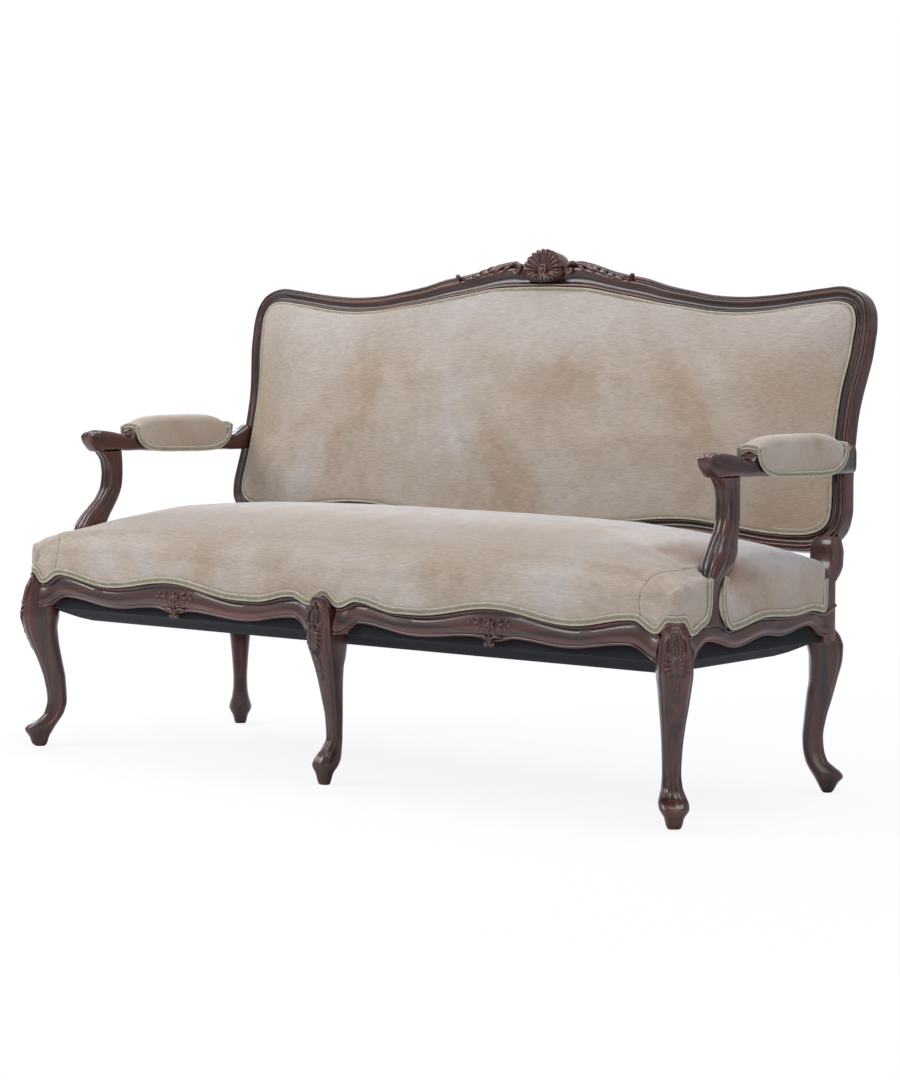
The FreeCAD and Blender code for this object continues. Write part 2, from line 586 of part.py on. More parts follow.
def seat_plan(proud, z0, z1, corner):
    """An upright prism over the seat, standing out from the show faces by proud."""
    front = SHOW_Y - proud
    back = SEAT_BACK_DEPTH
    xf = side_face(front) + proud
    xb = side_face(back) + proud
    k = corner * (1 - math.sqrt(0.5))
    side_x = xf - SIDE_LEAN * corner
    start = at(-xf + corner, front, z0)
    wire = outline(start, at(xf - corner, front, z0), (at(xf - k, front + k, z0), at(side_x, front + corner, z0)),
                   at(xb, back, z0), at(-xb, back, z0), at(-side_x, front + corner, z0),
                   (at(-xf + k, front + k, z0), start))
    return Part.Face(wire).extrude(Vector(0, 0, z1 - z0))


def crown(inset):
    """A solid under the seat's crowned top, wider than the seat."""
    wires = []
    whole = [(-x, z) for x, z in reversed(SEAT_CROWN[1:])] + SEAT_CROWN
    edge = SEAT_EDGE_Z - inset
    front = SHOW_Y - COVER_PROUD - CLEAR
    back = SEAT_BACK_DEPTH + CLEAR
    for x, height in whole:
        top = height - inset
        rise = top - edge

        def p(depth, share):
            return at(x, depth, edge + share * rise)
        rising = [p(front + d, share) for d, share in CROWN_FRONT]
        middle = [p(CROWN_DEPTH + d, share) for d, share in CROWN_TOP]
        falling = [p(back - d, share) for d, share in CROWN_BACK]
        wires.append(outline(at(x, front, RAIL_FLOOR), at(x, front, edge - EDGE_DROP), (rising[0], rising[1]),
                             (middle[0], middle[1]), (middle[2], falling[0]),
                             (falling[1], at(x, back, edge - EDGE_DROP)), at(x, back, RAIL_FLOOR)))
    return loft(wires)


def cover_edge_front(x):
    """Height of the cover's lower edge along the front, over the rails and knees."""
    valley = FOOT_RAIL_X
    return wave([(0, KNEE_TOP)] + FRONT_TOP + [(valley + KNEE_REACH, KNEE_TOP)], abs(x)) + CLEAR


def cover_edge_side(depth):
    """Height of the cover's lower edge along a side."""
    return wave([(POST_BACK - KNEE_REACH, KNEE_TOP)] + rail_side_top(), depth) + CLEAR


def rail_side_top():
    """The side rail's top bead, kept low where the arm support's foot covers it."""
    return [(depth, min(z, SUPPORT_FOOT_Z)) for depth, z in SIDE_TOP]


def side_band(d0, d1, z0, z1):
    """An upright band along the right side rail, between two depths behind its show face."""
    a, b = SHOW_Y - MARGIN, SEAT_BACK_DEPTH + MARGIN
    ring = [at(side_face(a) - d0, a, z0), at(side_face(b) - d0, b, z0), at(side_face(b) - d1, b, z0),
            at(side_face(a) - d1, a, z0)]
    return Part.Face(Part.makePolygon(ring + ring[:1])).extrude(Vector(0, 0, z1 - z0))


def under_cover_edge():
    """What lies below the cover's wavy lower edge, all round the seat."""
    reach = SIDE_FACE_X + MARGIN
    floor = RAIL_FLOOR - MARGIN
    count = 2 * RAIL_STATIONS
    xs = stations(0, FOOT_RAIL_X, count) + stations(FOOT_RAIL_X, FOOT_RAIL_X + KNEE_REACH, 6)[1:] + [reach]
    right = [at(x, SHOW_Y - MARGIN, cover_edge_front(x)) for x in xs]
    left = [Vector(-v.x, v.y, v.z) for v in reversed(right)]
    ring = left + right[1:] + [at(reach, SHOW_Y - MARGIN, floor), at(-reach, SHOW_Y - MARGIN, floor)]
    front = Part.Face(Part.makePolygon(ring + ring[:1])).extrude(Vector(0, MARGIN + REBATE, 0))
    depths = stations(POST_BACK - KNEE_REACH, POST_BACK, 6) + stations(POST_BACK, REAR_POST_FRONT, count)[1:]
    line = [at(0, d, cover_edge_side(d)) for d in depths]
    far = SEAT_BACK_DEPTH + MARGIN
    ring = [at(0, SHOW_Y + REBATE, floor), at(0, SHOW_Y + REBATE, line[0].z)] + line
    ring += [at(0, far, line[-1].z), at(0, far, floor)]
    side = Part.Face(Part.makePolygon(ring + ring[:1])).extrude(Vector(reach, 0, 0))
    side = side.common(side_band(-MARGIN, REBATE, floor - MARGIN, KNEE_TOP + MARGIN))
    back = box(-reach, reach, REAR_RAIL_BACK, far, floor, RAIL_TOP - BACK_TUCK)
    return front.multiFuse([side, mirrored(side), back])


def seat_form(inset):
    return seat_plan(COVER_PROUD - inset, RAIL_FLOOR, 2 * SEAT_EDGE_Z, CORNER_ROUND).common(crown(inset))


def hessian_form(inset):
    """The flat-topped mound that the hessian makes over the springs."""
    rings = []
    for z, over in ((RAIL_TOP, HESSIAN_LAP), (HESSIAN_Z, HESSIAN_LAP - HESSIAN_SLOPE)):
        over = over - inset
        d0 = INNER_Y - over
        d1 = REAR_RAIL_FRONT + over
        x0 = side_face(d0) - RAIL_THICK + over
        x1 = side_face(d1) - RAIL_THICK + over
        ring = [at(-x0, d0, z - inset), at(x0, d0, z - inset), at(x1, d1, z - inset), at(-x1, d1, z - inset)]
        rings.append(Part.makePolygon(ring + ring[:1]))
    return Part.makeLoft(rings, True, True)


def post_room():
    """Room in the seat's soft layers for the arm supports and rear posts."""
    support = arm_support(2 * POST_GAP)
    inner = REAR_FOOT_X - max(station[1] for station in CONSOLE) - POST_GAP
    post = box(inner, FAR, REAR_POST_FRONT - POST_GAP, FAR, RAIL_FLOOR, CONSOLE[-1][0])
    return [support, mirrored(support), post, mirrored(post)]


def seat_layers():
    """Hessian, stuffing and cover over the springs."""
    room = post_room()
    edge = under_cover_edge()
    hessian = hessian_form(0).cut(hessian_form(HESSIAN_THICK).fuse(hessian_form(HESSIAN_THICK).translated(
        Vector(0, 0, -HESSIAN_THICK))))
    core = seat_plan(-REBATE + CLEAR, RAIL_FLOOR - 1, RAIL_TOP + CLEAR, 1.0)
    mound = hessian_form(-CLEAR)
    stuffing = seat_form(COVER_THICK + CLEAR)
    for tool in [core, mound, edge] + room:
        stuffing = stuffing.cut(tool)
    cover = seat_form(0).cut(seat_form(COVER_THICK).fuse(seat_plan(COVER_PROUD - COVER_THICK, RAIL_FLOOR - 1,
                                                                  RAIL_TOP, CORNER_ROUND)))
    for tool in [edge] + room:
        hessian = hessian if tool is edge else hessian.cut(tool)
        cover = cover.cut(tool)
    return [("spring_hessian", hessian), ("seat_stuffing", stuffing), ("seat_cover", cover)]


def braid(path):
    """A strip of braid standing on a wavy line, as points with their outward directions."""
    wires = []
    for point, outward in path:
        a = point + outward * CLEAR
        b = point + outward * (CLEAR + GIMP_THICK)
        up = Vector(0, 0, GIMP_HEIGHT)
        wires.append(Part.makePolygon([a, b, b + up, a + up, a]))
    return Part.makeLoft(wires, True, True)


def seat_gimp():
    """Braid round the cover's lower edge, in three runs between the posts."""
    out_side = Vector(1, SIDE_LEAN, 0).normalize()
    front = SHOW_Y - COVER_PROUD
    corner_x = side_face(front) + COVER_PROUD - CORNER_ROUND
    gap = SUPPORT[0][3] / 2.0 + POST_GAP
    half = []
    for x in stations(0, corner_x, 2 * RAIL_STATIONS):
        half.append((at(x, front, cover_edge_front(x)), Vector(0, -1, 0)))
    for degrees in stations(0, 90, 5)[1:-1]:
        a = math.radians(degrees)
        out = Vector(math.sin(a), -math.cos(a), 0)
        half.append((at(corner_x, front + CORNER_ROUND, KNEE_TOP + CLEAR) + out * CORNER_ROUND, out))
    for depth in stations(front + CORNER_ROUND, SUPPORT[0][2] - gap, RAIL_STATIONS):
        half.append((at(side_face(depth) + COVER_PROUD, depth, cover_edge_side(depth)), out_side))
    rear = []
    for depth in stations(SUPPORT[0][2] + gap, REAR_POST_FRONT - POST_GAP, 2 * RAIL_STATIONS):
        rear.append((at(side_face(depth) + COVER_PROUD, depth, cover_edge_side(depth)), out_side))
    left = [(Vector(-p.x, p.y, p.z), Vector(-o.x, o.y, 0)) for p, o in reversed(half[1:])]
    run = braid(rear)
    return Part.makeCompound([braid(left + half), run, mirrored(run)])


# Webbing, springs and dust cloth

def web(points, across, half):
    """A bent web: a flat band through points, extruded both ways along across."""
    lower = [Vector(p.x, p.y, p.z - WEB_THICK) for p in reversed(points)]
    face = Part.Face(Part.makePolygon(points + lower + points[:1]))
    return face.translated(across * -half).extrude(across * (2 * half))


def cross_web(x):
    top = [(INNER_Y - WEB_REACH, RAIL_FLOOR), (INNER_Y, RAIL_FLOOR), (INNER_Y + WEB_SLOPE, WEB_LEVEL),
           (REAR_RAIL_FRONT - WEB_SLOPE, WEB_LEVEL), (REAR_RAIL_FRONT, RAIL_FLOOR),
           (REAR_RAIL_FRONT + WEB_REACH, RAIL_FLOOR)]
    return web([at(x, d, z) for d, z in top], Vector(1, 0, 0), WEB_WIDTH / 2.0)


def long_web(depth):
    inner = side_face(depth) - RAIL_THICK
    low = WEB_LEVEL - WEB_THICK
    half = [(inner - WEB_SLOPE, low), (inner, RAIL_FLOOR), (inner + WEB_REACH, RAIL_FLOOR)]
    top = [(-x, z) for x, z in reversed(half)] + half
    return web([at(x, depth, z) for x, z in top], Vector(0, 1, 0), WEB_WIDTH / 2.0)


def arc_from(start, corner, end):
    """The arc that leaves start towards corner and arrives at end, both as far from corner."""
    middle = (start + end) * 0.5
    half = (end - start).Length / 2
    rise = corner - middle
    angle = math.atan2(rise.Length, half)
    return Part.Arc(start, middle + rise.normalize() * (half * math.tan(angle / 2)), end).toShape()


def coil_path(radius, height, turns):
    """A helix as two tangent arcs for each half turn."""
    def along(i):
        turn = math.pi * i
        slope = height / (turns * 2 * math.pi)
        point = Vector(radius * math.cos(turn), radius * math.sin(turn), slope * turn)
        return point, Vector(-radius * math.sin(turn), radius * math.cos(turn), slope).normalize()
    edges = []
    for i in range(2 * turns):
        (a, ta), (b, tb) = along(i), along(i + 1)
        chord, both_tangents = b - a, ta + tb
        square = both_tangents.dot(both_tangents) - 4
        half = chord.dot(both_tangents)
        reach = (half - math.sqrt(half * half - square * chord.dot(chord))) / square
        out, back = a + ta * reach, b - tb * reach
        joint = (out + back) * 0.5
        edges += [arc_from(a, out, joint), arc_from(joint, back, b)]
    return edges


def springs():
    """Coil springs on the crossings of the webbing, tied up to the hessian."""
    radius = SPRING_WIRE / 2.0
    height = HESSIAN_Z - HESSIAN_THICK - WEB_LEVEL - SPRING_WIRE - 2 * CLEAR
    bends = []
    for edge in coil_path(SPRING_RADIUS, height, SPRING_TURNS):
        start, arc = edge.FirstParameter, edge.Curve
        disc = Part.Face(Part.Wire([Part.makeCircle(radius, edge.valueAt(start), edge.tangentAt(start))]))
        bends.append(disc.revolve(arc.Center, arc.Axis, math.degrees(edge.LastParameter - start)))
    coil = bends[0].multiFuse(bends[1:])
    coils = []
    for depth in SPRING_ROWS:
        for x in CROSS_WEBS:
            for side in (-1, 1):
                coils.append(coil.translated(at(side * x, depth, WEB_LEVEL + radius + CLEAR)))
    return Part.makeCompound(coils)


def dust_form(inset):
    rings = []
    for z, over in DUST_RINGS:
        over = over - inset
        d0, d1 = INNER_Y - over, REAR_RAIL_FRONT + over
        x0 = side_face(d0) - RAIL_THICK + over
        x1 = side_face(d1) - RAIL_THICK + over
        ring = [at(-x0, d0, z + inset), at(x0, d0, z + inset), at(x1, d1, z + inset), at(-x1, d1, z + inset)]
        rings.append(Part.makePolygon(ring + ring[:1]))
    return Part.makeLoft(rings, True, True)


def dust_cover():
    """Thin cloth under the webbing, held round the rails and pushed down by it."""
    return dust_form(0).cut(dust_form(DUST_THICK))


def tack(place, grow=0.0):
    """A tack driven up through a web into a rail."""
    x, depth = place
    z = RAIL_FLOOR - WEB_THICK
    head = cylinder(at(x, depth, z - TACK_CAP), at(x, depth, z), TACK_HEAD)
    return head.fuse(cylinder(at(x, depth, z), at(x, depth, z + TACK_LENGTH + grow), TACK_RADIUS + grow))


def tack_places():
    """Where the webs are tacked: two tacks at each end."""
    places = []
    edge = WEB_WIDTH / 4.0
    reach = WEB_REACH / 2.0
    for x in CROSS_WEBS:
        for side in (-1, 1):
            for dx in (-edge, edge):
                places.append((side * x + dx, INNER_Y - reach))
                places.append((side * x + dx, REAR_RAIL_FRONT + reach))
    for depth in LONG_WEBS:
        for side in (-1, 1):
            for dd in (-edge, edge):
                places.append((side * (side_face(depth) - RAIL_THICK + reach), depth + dd))
    return places


# Joinery

def frame_dowels():
    """Middles and directions of the dowels in the right half of the seat frame."""
    middle = SHOW_Y + (RAIL_THICK + REBATE) / 2.0
    x_axis, y_axis = Vector(1, 0, 0), Vector(0, 1, 0)
    side_x = side_face(POST_BACK) - RAIL_THICK / 2.0
    rear_x = side_face(REAR_POST_FRONT) - RAIL_THICK / 2.0
    places = []
    for low in (0, DOWEL_PITCH):
        between = DOWEL_Z + DOWEL_PITCH / 2.0 + low
        places.append((at(FOOT_RAIL_X, middle, DOWEL_Z + low), x_axis))
        places.append((at(CENTRE_POST_HALF, middle, DOWEL_Z + low), x_axis))
        places.append((at(side_x, POST_BACK, between), y_axis))
        places.append((at(rear_x, REAR_POST_FRONT, DOWEL_Z + low), y_axis))
        places.append((at(REAR_FACE_X - REAR_POST_WIDTH, REAR_RAIL_BACK - RAIL_THICK / 2.0, between), x_axis))
    return places


def brace_dowels():
    z = RAIL_FLOOR + BRACE_HEIGHT / 2.0
    y_axis = Vector(0, 1, 0)
    return [(at(0, INNER_Y, z), y_axis), (at(0, REAR_RAIL_FRONT, z), y_axis)]


def back_dowels():
    """Dowels of the right half of the back frame."""
    w = (FRAME_THICK + OGEE[0][1]) / 2.0
    up = back_point(0, 1, 0) - back_point(0, 0, 0)
    (top_in, top_z), (top_out, _) = STILE[0]
    (end_x, end_in), (_, end_out) = STILE[-1]
    places = []
    for share in BACK_DOWEL_SHARES:
        places.append((back_point(top_in + share * (top_out - top_in), top_z, w), up))
        places.append((back_point(end_x, end_in + share * (end_out - end_in), w), Vector(1, 0, 0)))
    return places


def arm_dowels():
    """Dowels of the right arm: in the rail, under the arm, at the stile and in the rear post."""
    foot = SUPPORT[0]
    head = SUPPORT[-1]
    z_axis = Vector(0, 0, 1)
    through = back_point(0, 0, 1) - back_point(0, 0, 0)
    up = back_point(0, 1, 0) - back_point(0, 0, 0)
    return [(at(foot[1], foot[2], foot[0]), z_axis), (at(head[1], head[2], head[0]), z_axis),
            (back_point(ARM_STILE_X, ARM_JOINT_Z + DOWEL_LENGTH / 3, 0), through),
            (back_point(REAR_FACE_X - REAR_POST_WIDTH / 2, CONSOLE_TOP_Z, REAR_POST_DEPTH / 4), up)]


def screw(start, along, grow=0.0):
    shank = cylinder(start, start + along * (SCREW_LENGTH + grow), SCREW_RADIUS + grow)
    return shank.fuse(cylinder(start - along * grow, start + along * (SCREW_CAP + grow), SCREW_HEAD + grow))


def corner_block(front):
    """A glue block in the right corner of two rails, with the places of its two screws."""
    face = INNER_Y if front else REAR_RAIL_FRONT
    way = 1 if front else -1
    x = side_face(face) - RAIL_THICK + REBATE
    z0 = RAIL_TOP - SCREW_SINK - BLOCK_HEIGHT
    ring = [at(x, face, z0), at(x - BLOCK_LEG, face, z0), at(x - BLOCK_LEG, face + way * BLOCK_TOE, z0),
            at(x - BLOCK_TOE, face + way * BLOCK_LEG, z0), at(x, face + way * BLOCK_LEG, z0)]
    block = Part.Face(Part.makePolygon(ring + ring[:1])).extrude(Vector(0, 0, BLOCK_HEIGHT))
    inset = BLOCK_SCREW_AT * BLOCK_LEG
    run = BLOCK_LEG + BLOCK_TOE - inset
    low, high = z0 + BLOCK_HEIGHT / 3, z0 + 2 * BLOCK_HEIGHT / 3
    places = [(at(x - inset, face + way * (run - SCREW_SINK), low), Vector(0, -way, 0)),
              (at(x - run + SCREW_SINK, face + way * inset, high), Vector(1, 0, 0))]
    return block, places


def write(name, shape):
    shape.exportStep(os.path.join(OUT, name + ".step"))
    print(name, len(shape.Solids), round(shape.Volume / 1000.0, 1), shape.isValid())


def pair(name, right):
    write(name + "_right", right)
    write(name + "_left", mirrored(right))


def both(shapes):
    return shapes + [mirrored(shape) for shape in shapes]


def main():
    os.makedirs(OUT, exist_ok=True)
    dowels = {"seat_frame_dowels": frame_dowels(), "back_frame_dowels": back_dowels(), "arm_dowels": arm_dowels()}
    holes = [dowel(place, GLUE) for places in dowels.values() for place in places + brace_dowels()]
    tack_holes = [tack(place, GLUE) for place in tack_places()]
    right_blocks = [corner_block(True), corner_block(False)]
    screw_places = [place for block, places in right_blocks for place in places]
    screw_holes = [screw(start, along, GLUE) for start, along in screw_places]
    tools = holes + screw_holes + tack_holes

    stile_solid = stile()
    support = arm_support()
    arm = arm_rest(stile_solid)
    corner_leg = front_corner_leg()
    post_leg = rear_leg(stile_solid)
    side = side_rail()
    front = front_rail()
    rear = largest(rear_rail().cut([post_leg, mirrored(post_leg)]))

    pair("front_leg", bored(corner_leg, tools))
    write("front_leg_centre", bored(centre_leg(), both(holes)))
    pair("rear_leg", bored(post_leg, tools))
    pair("front_rail", bored(front, tools))
    pair("side_rail", bored(side, tools))
    write("rear_rail", bored(rear, both(holes + screw_holes) + tack_holes))
    write("centre_brace", bored(centre_brace(), holes))
    write("back_crest_rail", bored(crest_rail(), both(holes)))
    pair("back_stile", bored(stile_solid, holes))
    write("back_foot_rail", bored(back_foot_rail(), both(holes)))
    pair("arm_support", bored(support, holes))
    pair("arm_rest", bored(arm, holes))

    for name, places in dowels.items():
        pins = both([dowel(place) for place in places])
        if name == "seat_frame_dowels":
            pins += [dowel(place) for place in brace_dowels()]
        write(name, Part.makeCompound(pins))
    blocks = []
    for block, places in right_blocks:
        blocks.append(largest(bored(block.cut([corner_leg, post_leg, side, front]), screw_holes)))
    write("corner_blocks", Part.makeCompound(both(blocks)))
    write("corner_block_screws", Part.makeCompound(both([screw(start, along) for start, along in screw_places])))

    for name, shape in seat_layers() + back_layers():
        write(name, shape)
    stuffing, cover, gimp = arm_pad(arm)
    pair("arm_pad", stuffing)
    pair("arm_pad_cover", cover)
    pair("arm_pad_gimp", gimp)
    write("seat_gimp", seat_gimp())
    crosswise = [bored(cross_web(side * x), tack_holes) for x in CROSS_WEBS for side in (-1, 1)]
    write("seat_webbing_crosswise", Part.makeCompound(crosswise))
    write("seat_webbing_lengthwise", Part.makeCompound([bored(long_web(d), tack_holes) for d in LONG_WEBS]))
    write("webbing_tacks", Part.makeCompound([tack(place) for place in tack_places()]))
    write("seat_springs", springs())
    write("dust_cover", dust_cover())


main()
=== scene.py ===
"""Dresses the cabriole settee: carved frame, velvet upholstery, braid, and a plain studio."""

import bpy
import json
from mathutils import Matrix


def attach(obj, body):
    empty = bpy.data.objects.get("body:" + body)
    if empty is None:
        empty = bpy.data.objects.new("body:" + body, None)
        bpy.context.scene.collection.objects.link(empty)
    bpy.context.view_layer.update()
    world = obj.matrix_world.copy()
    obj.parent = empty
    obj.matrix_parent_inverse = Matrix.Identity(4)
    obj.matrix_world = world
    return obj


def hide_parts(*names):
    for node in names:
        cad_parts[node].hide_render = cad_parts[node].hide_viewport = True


bl_info = {
    "name": "Cabriole settee",
    "version": (1, 0, 0),
    "blender": (4, 5, 0),
    "location": "View3D > Sidebar > Settee",
    "description": "Carved show-wood frame, velvet upholstery and braid of a three-seat settee",
    "category": "Object",
}
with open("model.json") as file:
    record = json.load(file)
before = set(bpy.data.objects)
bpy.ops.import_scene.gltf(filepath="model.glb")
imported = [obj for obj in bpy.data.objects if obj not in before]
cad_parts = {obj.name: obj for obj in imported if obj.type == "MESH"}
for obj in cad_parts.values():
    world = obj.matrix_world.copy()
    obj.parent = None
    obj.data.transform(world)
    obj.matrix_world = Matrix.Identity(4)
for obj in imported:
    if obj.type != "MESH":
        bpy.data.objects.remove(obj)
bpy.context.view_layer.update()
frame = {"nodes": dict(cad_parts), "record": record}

import json
import math

import bpy
import bmesh
from bpy.props import FloatProperty, FloatVectorProperty, PointerProperty
from mathutils import Vector, noise

MM = 0.001

# Measured layout of the frame, in millimetres; depth is counted from the front feet
FEET_X = 840.0
FEET_DEPTH = 546.0
REAR_FEET_X = 790.0
CENTRE_FOOT_OUT = 15.0
FRONT_FEET_Y = -321.2
SHOW_DEPTH = -9.0
POST_BACK = 29.0
POST_IN = 811.0
POST_OUT = 849.0
CENTRE_POST_HALF = 38.0
REAR_POST_OUT = 816.0
REAR_POST_FRONT = 494.0
SIDE_LEAN = (POST_OUT - REAR_POST_OUT) / (REAR_POST_FRONT - POST_BACK)
RAIL_THICK = 34.0
RAIL_TOP = 382.0
REBATE = 6.0
COVER_PROUD = 6.0
KNEE_TOP = 368.0
KNEE_REACH = 25.0
SUPPORT_FOOT_Z = 358.0
LEG_TOP = 366
REAR_LEG_TOP = 318
CORNER_ROUND = 26.0
BRAID_HALF = 5.6

FRONT_TOP = [(38, 347), (85, 361), (190, 345), (235, 345), (431, 368), (612, 349), (762, 368), (811, 347)]
FRONT_FOOT = [(38, 294), (88, 318), (232, 303), (378, 312), (425, 306), (480, 314), (595, 306),
              (746, 320), (811, 296)]
SIDE_TOP = [(29, 343), (74, 358), (94, 378), (131, 378), (160, 343), (278, 367), (372, 353), (440, 365), (494, 350)]
SIDE_FOOT = [(29, 296), (90, 326), (186, 309), (286, 322), (340, 317), (434, 329), (494, 304)]

# Legs: height, reach outwards, reach inwards, width
CORNER_LEG = [(0, 10, 9, 22), (4, 17, 13, 27), (21, 24, 19, 36), (29, 30, 24, 46), (36, 33, 28, 53),
              (44, 26, 33, 54), (57, 3, 42, 46), (71, -9, 50, 37), (96, -15, 56, 33), (138, -9, 54, 36),
              (180, 4, 47, 43), (222, 22, 40, 53), (250, 32, 38, 59), (278, 37, 42, 65), (300, 34, 40, 64),
              (327, 27, 26, 58), (348, 20, 8, 46), (366, 15, -3, 30)]
CENTRE_LEG = [(0, 8, 8, 20), (4, 11, 10, 23), (21, 15, 15, 31), (39, 21, 27, 46), (50, 17, 35, 42),
              (70, -2, 41, 31), (89, -14, 43, 28), (128, -12, 43, 31), (167, -4, 41, 38), (200, 4, 40, 44),
              (225, 11, 40, 50), (250, 20, 45, 57), (278, 30, 48, 62), (300, 30, 46, 62), (327, 26, 30, 56),
              (348, 21, 8, 46), (366, 18, -5, 30)]
REAR_LEG = [(0, 8, 8, 22), (4, 12, 11, 26), (19, 21, 19, 34), (30, 30, 25, 46), (38, 26, 30, 50),
            (48, 14, 36, 46), (62, -1, 42, 38), (86, -8, 47, 32), (105, -9, 48, 31), (143, -3, 45, 35),
            (182, 8, 41, 42), (220, 18, 36, 50), (258, 27, 36, 56), (280, 28, 40, 56), (300, 22, 46, 52),
            (318, 8, 40, 40)]
# Rear post and console: height, faces from the rear foot inner, outer, front, back
CONSOLE = [(292, 16, 26, 52, 12), (350, 16, 26, 52, 12), (402, 16, 26, 52, 12), (418, 19, 26, 44, -3),
           (432, 23, 26, 33, -12), (446, 25, 25, 27, -15), (460, 26, 25, 25, -16), (472, 25, 24, 25, -14),
           (482, 22, 23, 22, -11), (490, 16, 20, 16, -8)]

# Back frame, in the leaning plane: inner edge (x, z) and outer edge (x, z)
BACK_FOOT_DEPTH = 546.0
BACK_FOOT_Z = 486.0
BACK_LEAN = math.radians(11.47)
FRAME_THICK = 30.0
CREST = [((0, 965), (0, 1012)), ((34, 965), (36, 1011)), ((60, 964), (64, 1014)), ((82, 963.4), (88, 1019)),
         ((114, 962), (122, 1014)), ((140, 959.5), (152, 1006)), ((160, 956.5), (172, 1000)),
         ((207, 949), (222, 990)), ((260, 941), (272, 982)), ((313, 932), (327, 968)), ((380, 923.5), (392, 956.5)),
         ((445, 915.5), (450, 948)), ((520, 912.5), (520, 945)), ((590, 917), (583, 948)), ((652, 925), (646, 954)),
         ((705, 931), (705, 961)), ((748, 934), (757, 964)), ((776, 926), (797, 948)), ((788, 908), (816, 922)),
         ((791, 890), (822, 890)), ((790, 868), (822, 868))]
STILE = [((790, 868), (822, 868)), ((788, 833), (820, 830)), ((783, 800), (815, 797)), ((778, 765), (809, 762)),
         ((776, 725), (805, 724)), ((776, 680), (805, 679)), ((778, 640), (807, 640)), ((781, 600), (810, 602)),
         ((785, 565), (815, 566)), ((787, 535), (818, 533)), ((783, 514), (811, 501)), ((767, 499), (786, 475)),
         ((742, 491), (748, 460)), ((725, 489), (725, 458))]
FOOT_RAIL = [((725, 489), (725, 458)), ((690, 488), (688, 459)), ((640, 489.5), (637, 461)),
             ((580, 495.5), (580, 467)), ((520, 502), (520, 473.5)), ((455, 507), (455, 478)),
             ((390, 505.5), (390, 477)), ((320, 499), (320, 470)), ((240, 491.5), (240, 463)),
             ((120, 488), (120, 459.5)), ((0, 488), (0, 459))]
# Section of the back frame: share of the width from the inner edge, and depth behind the face
FRAME_SECTION = [(0.0, 6.0), (0.0, 3.4), (0.03, 1.2), (0.07, 0.2), (0.11, 0.0), (0.15, 0.6), (0.175, 2.0), (0.20, 3.2),
                 (0.25, 4.3), (0.32, 4.9), (0.40, 4.5), (0.47, 3.0), (0.53, 1.0), (0.58, -0.8), (0.62, -1.8),
                 (0.66, -2.2), (0.70, -1.9), (0.74, -0.9), (0.775, 0.4), (0.80, 1.4), (0.825, 1.5), (0.845, 0.6),
                 (0.87, -0.5), (0.90, -1.1), (0.935, -1.0), (0.965, 0.0), (0.99, 2.0), (1.0, 4.5), (1.0, 9.0),
                 (1.0, 20.0), (1.0, 27.0), (0.98, 29.4), (0.94, 30.0), (0.5, 30.0), (0.0, 30.0), (0.0, 20.0)]
SHELL_Z = 999.0
SHELL_REACH_UP = 43.0
SHELL_REACH_SIDE = 50.0
SHELL_REACH_DOWN = 25.0

# Arms
SUPPORT = [(352, 829, 112, 76, 34), (362, 829, 112, 56, 34), (376, 829, 112, 40, 33), (400, 829, 112, 36, 32),
           (430, 830, 117, 42, 34), (448, 831, 128, 54, 40), (465, 830, 140, 64, 46), (480, 829, 150, 62, 44),
           (500, 824, 164, 54, 40), (520, 820, 177, 46, 38), (545, 817, 186, 41, 38), (570, 816, 188, 40, 38),
           (595, 816, 186, 43, 39), (617, 817, 178, 58, 40)]
ARM = [(113, 643, 655, 28, 817), (117, 634, 659, 33, 817), (122, 628, 661, 36, 817), (136, 617, 663, 41, 817),
       (165, 617, 661, 43, 818), (200, 617, 655, 42, 819), (232, 616, 648, 40, 820), (244, 616, 654, 40, 820),
       (252, 616, 662, 40, 820), (330, 614, 662, 40, 820), (430, 612, 662, 40, 820), (500, 610, 660, 40, 820),
       (520, 610, 654, 39, 819), (536, 609, 645, 38, 816), (556, 609, 651, 38, 811), (576, 609, 663, 38, 807)]
PAD_FRONT = 250.0
PAD_BACK = 526.0
PAD_X = 820.0
PAD_HALF = 23.0
# Lower edge of a pad's cover along the arm, as depth and height
PAD_EDGE = [(246, 668), (246, 655), (251, 643), (259, 634), (270, 627), (288, 621), (315, 618), (380, 616),
            (450, 615), (480, 617), (500, 623), (513, 632), (521, 643), (525, 655), (526, 667)]


def at(x, depth, z):
    """Point in metres from millimetres, with its depth behind the front feet."""
    return Vector((x * MM, (FRONT_FEET_Y + depth) * MM, z * MM))


def leaning(x, z, w=0.0):
    """Point of the leaning back: x and z on its face, w through its thickness."""
    depth = BACK_FOOT_DEPTH + (z - BACK_FOOT_Z) * math.tan(BACK_LEAN)
    return at(x, depth + w * math.cos(BACK_LEAN), z - w * math.sin(BACK_LEAN))


def side_face(depth):
    """x of the side rail's show face."""
    return POST_OUT - SIDE_LEAN * (depth - POST_BACK)


def spaced(start, end, count):
    """count numbers from start to end."""
    return [start + (end - start) * i / (count - 1) for i in range(count)]


def wave(extremes, t):
    """Height on a smooth wave through its highest and lowest points."""
    if t <= extremes[0][0]:
        return float(extremes[0][1])
    for (a, za), (b, zb) in zip(extremes, extremes[1:]):
        if t <= b:
            return za + (zb - za) * (1 - math.cos(math.pi * (t - a) / (b - a))) / 2
    return float(extremes[-1][1])


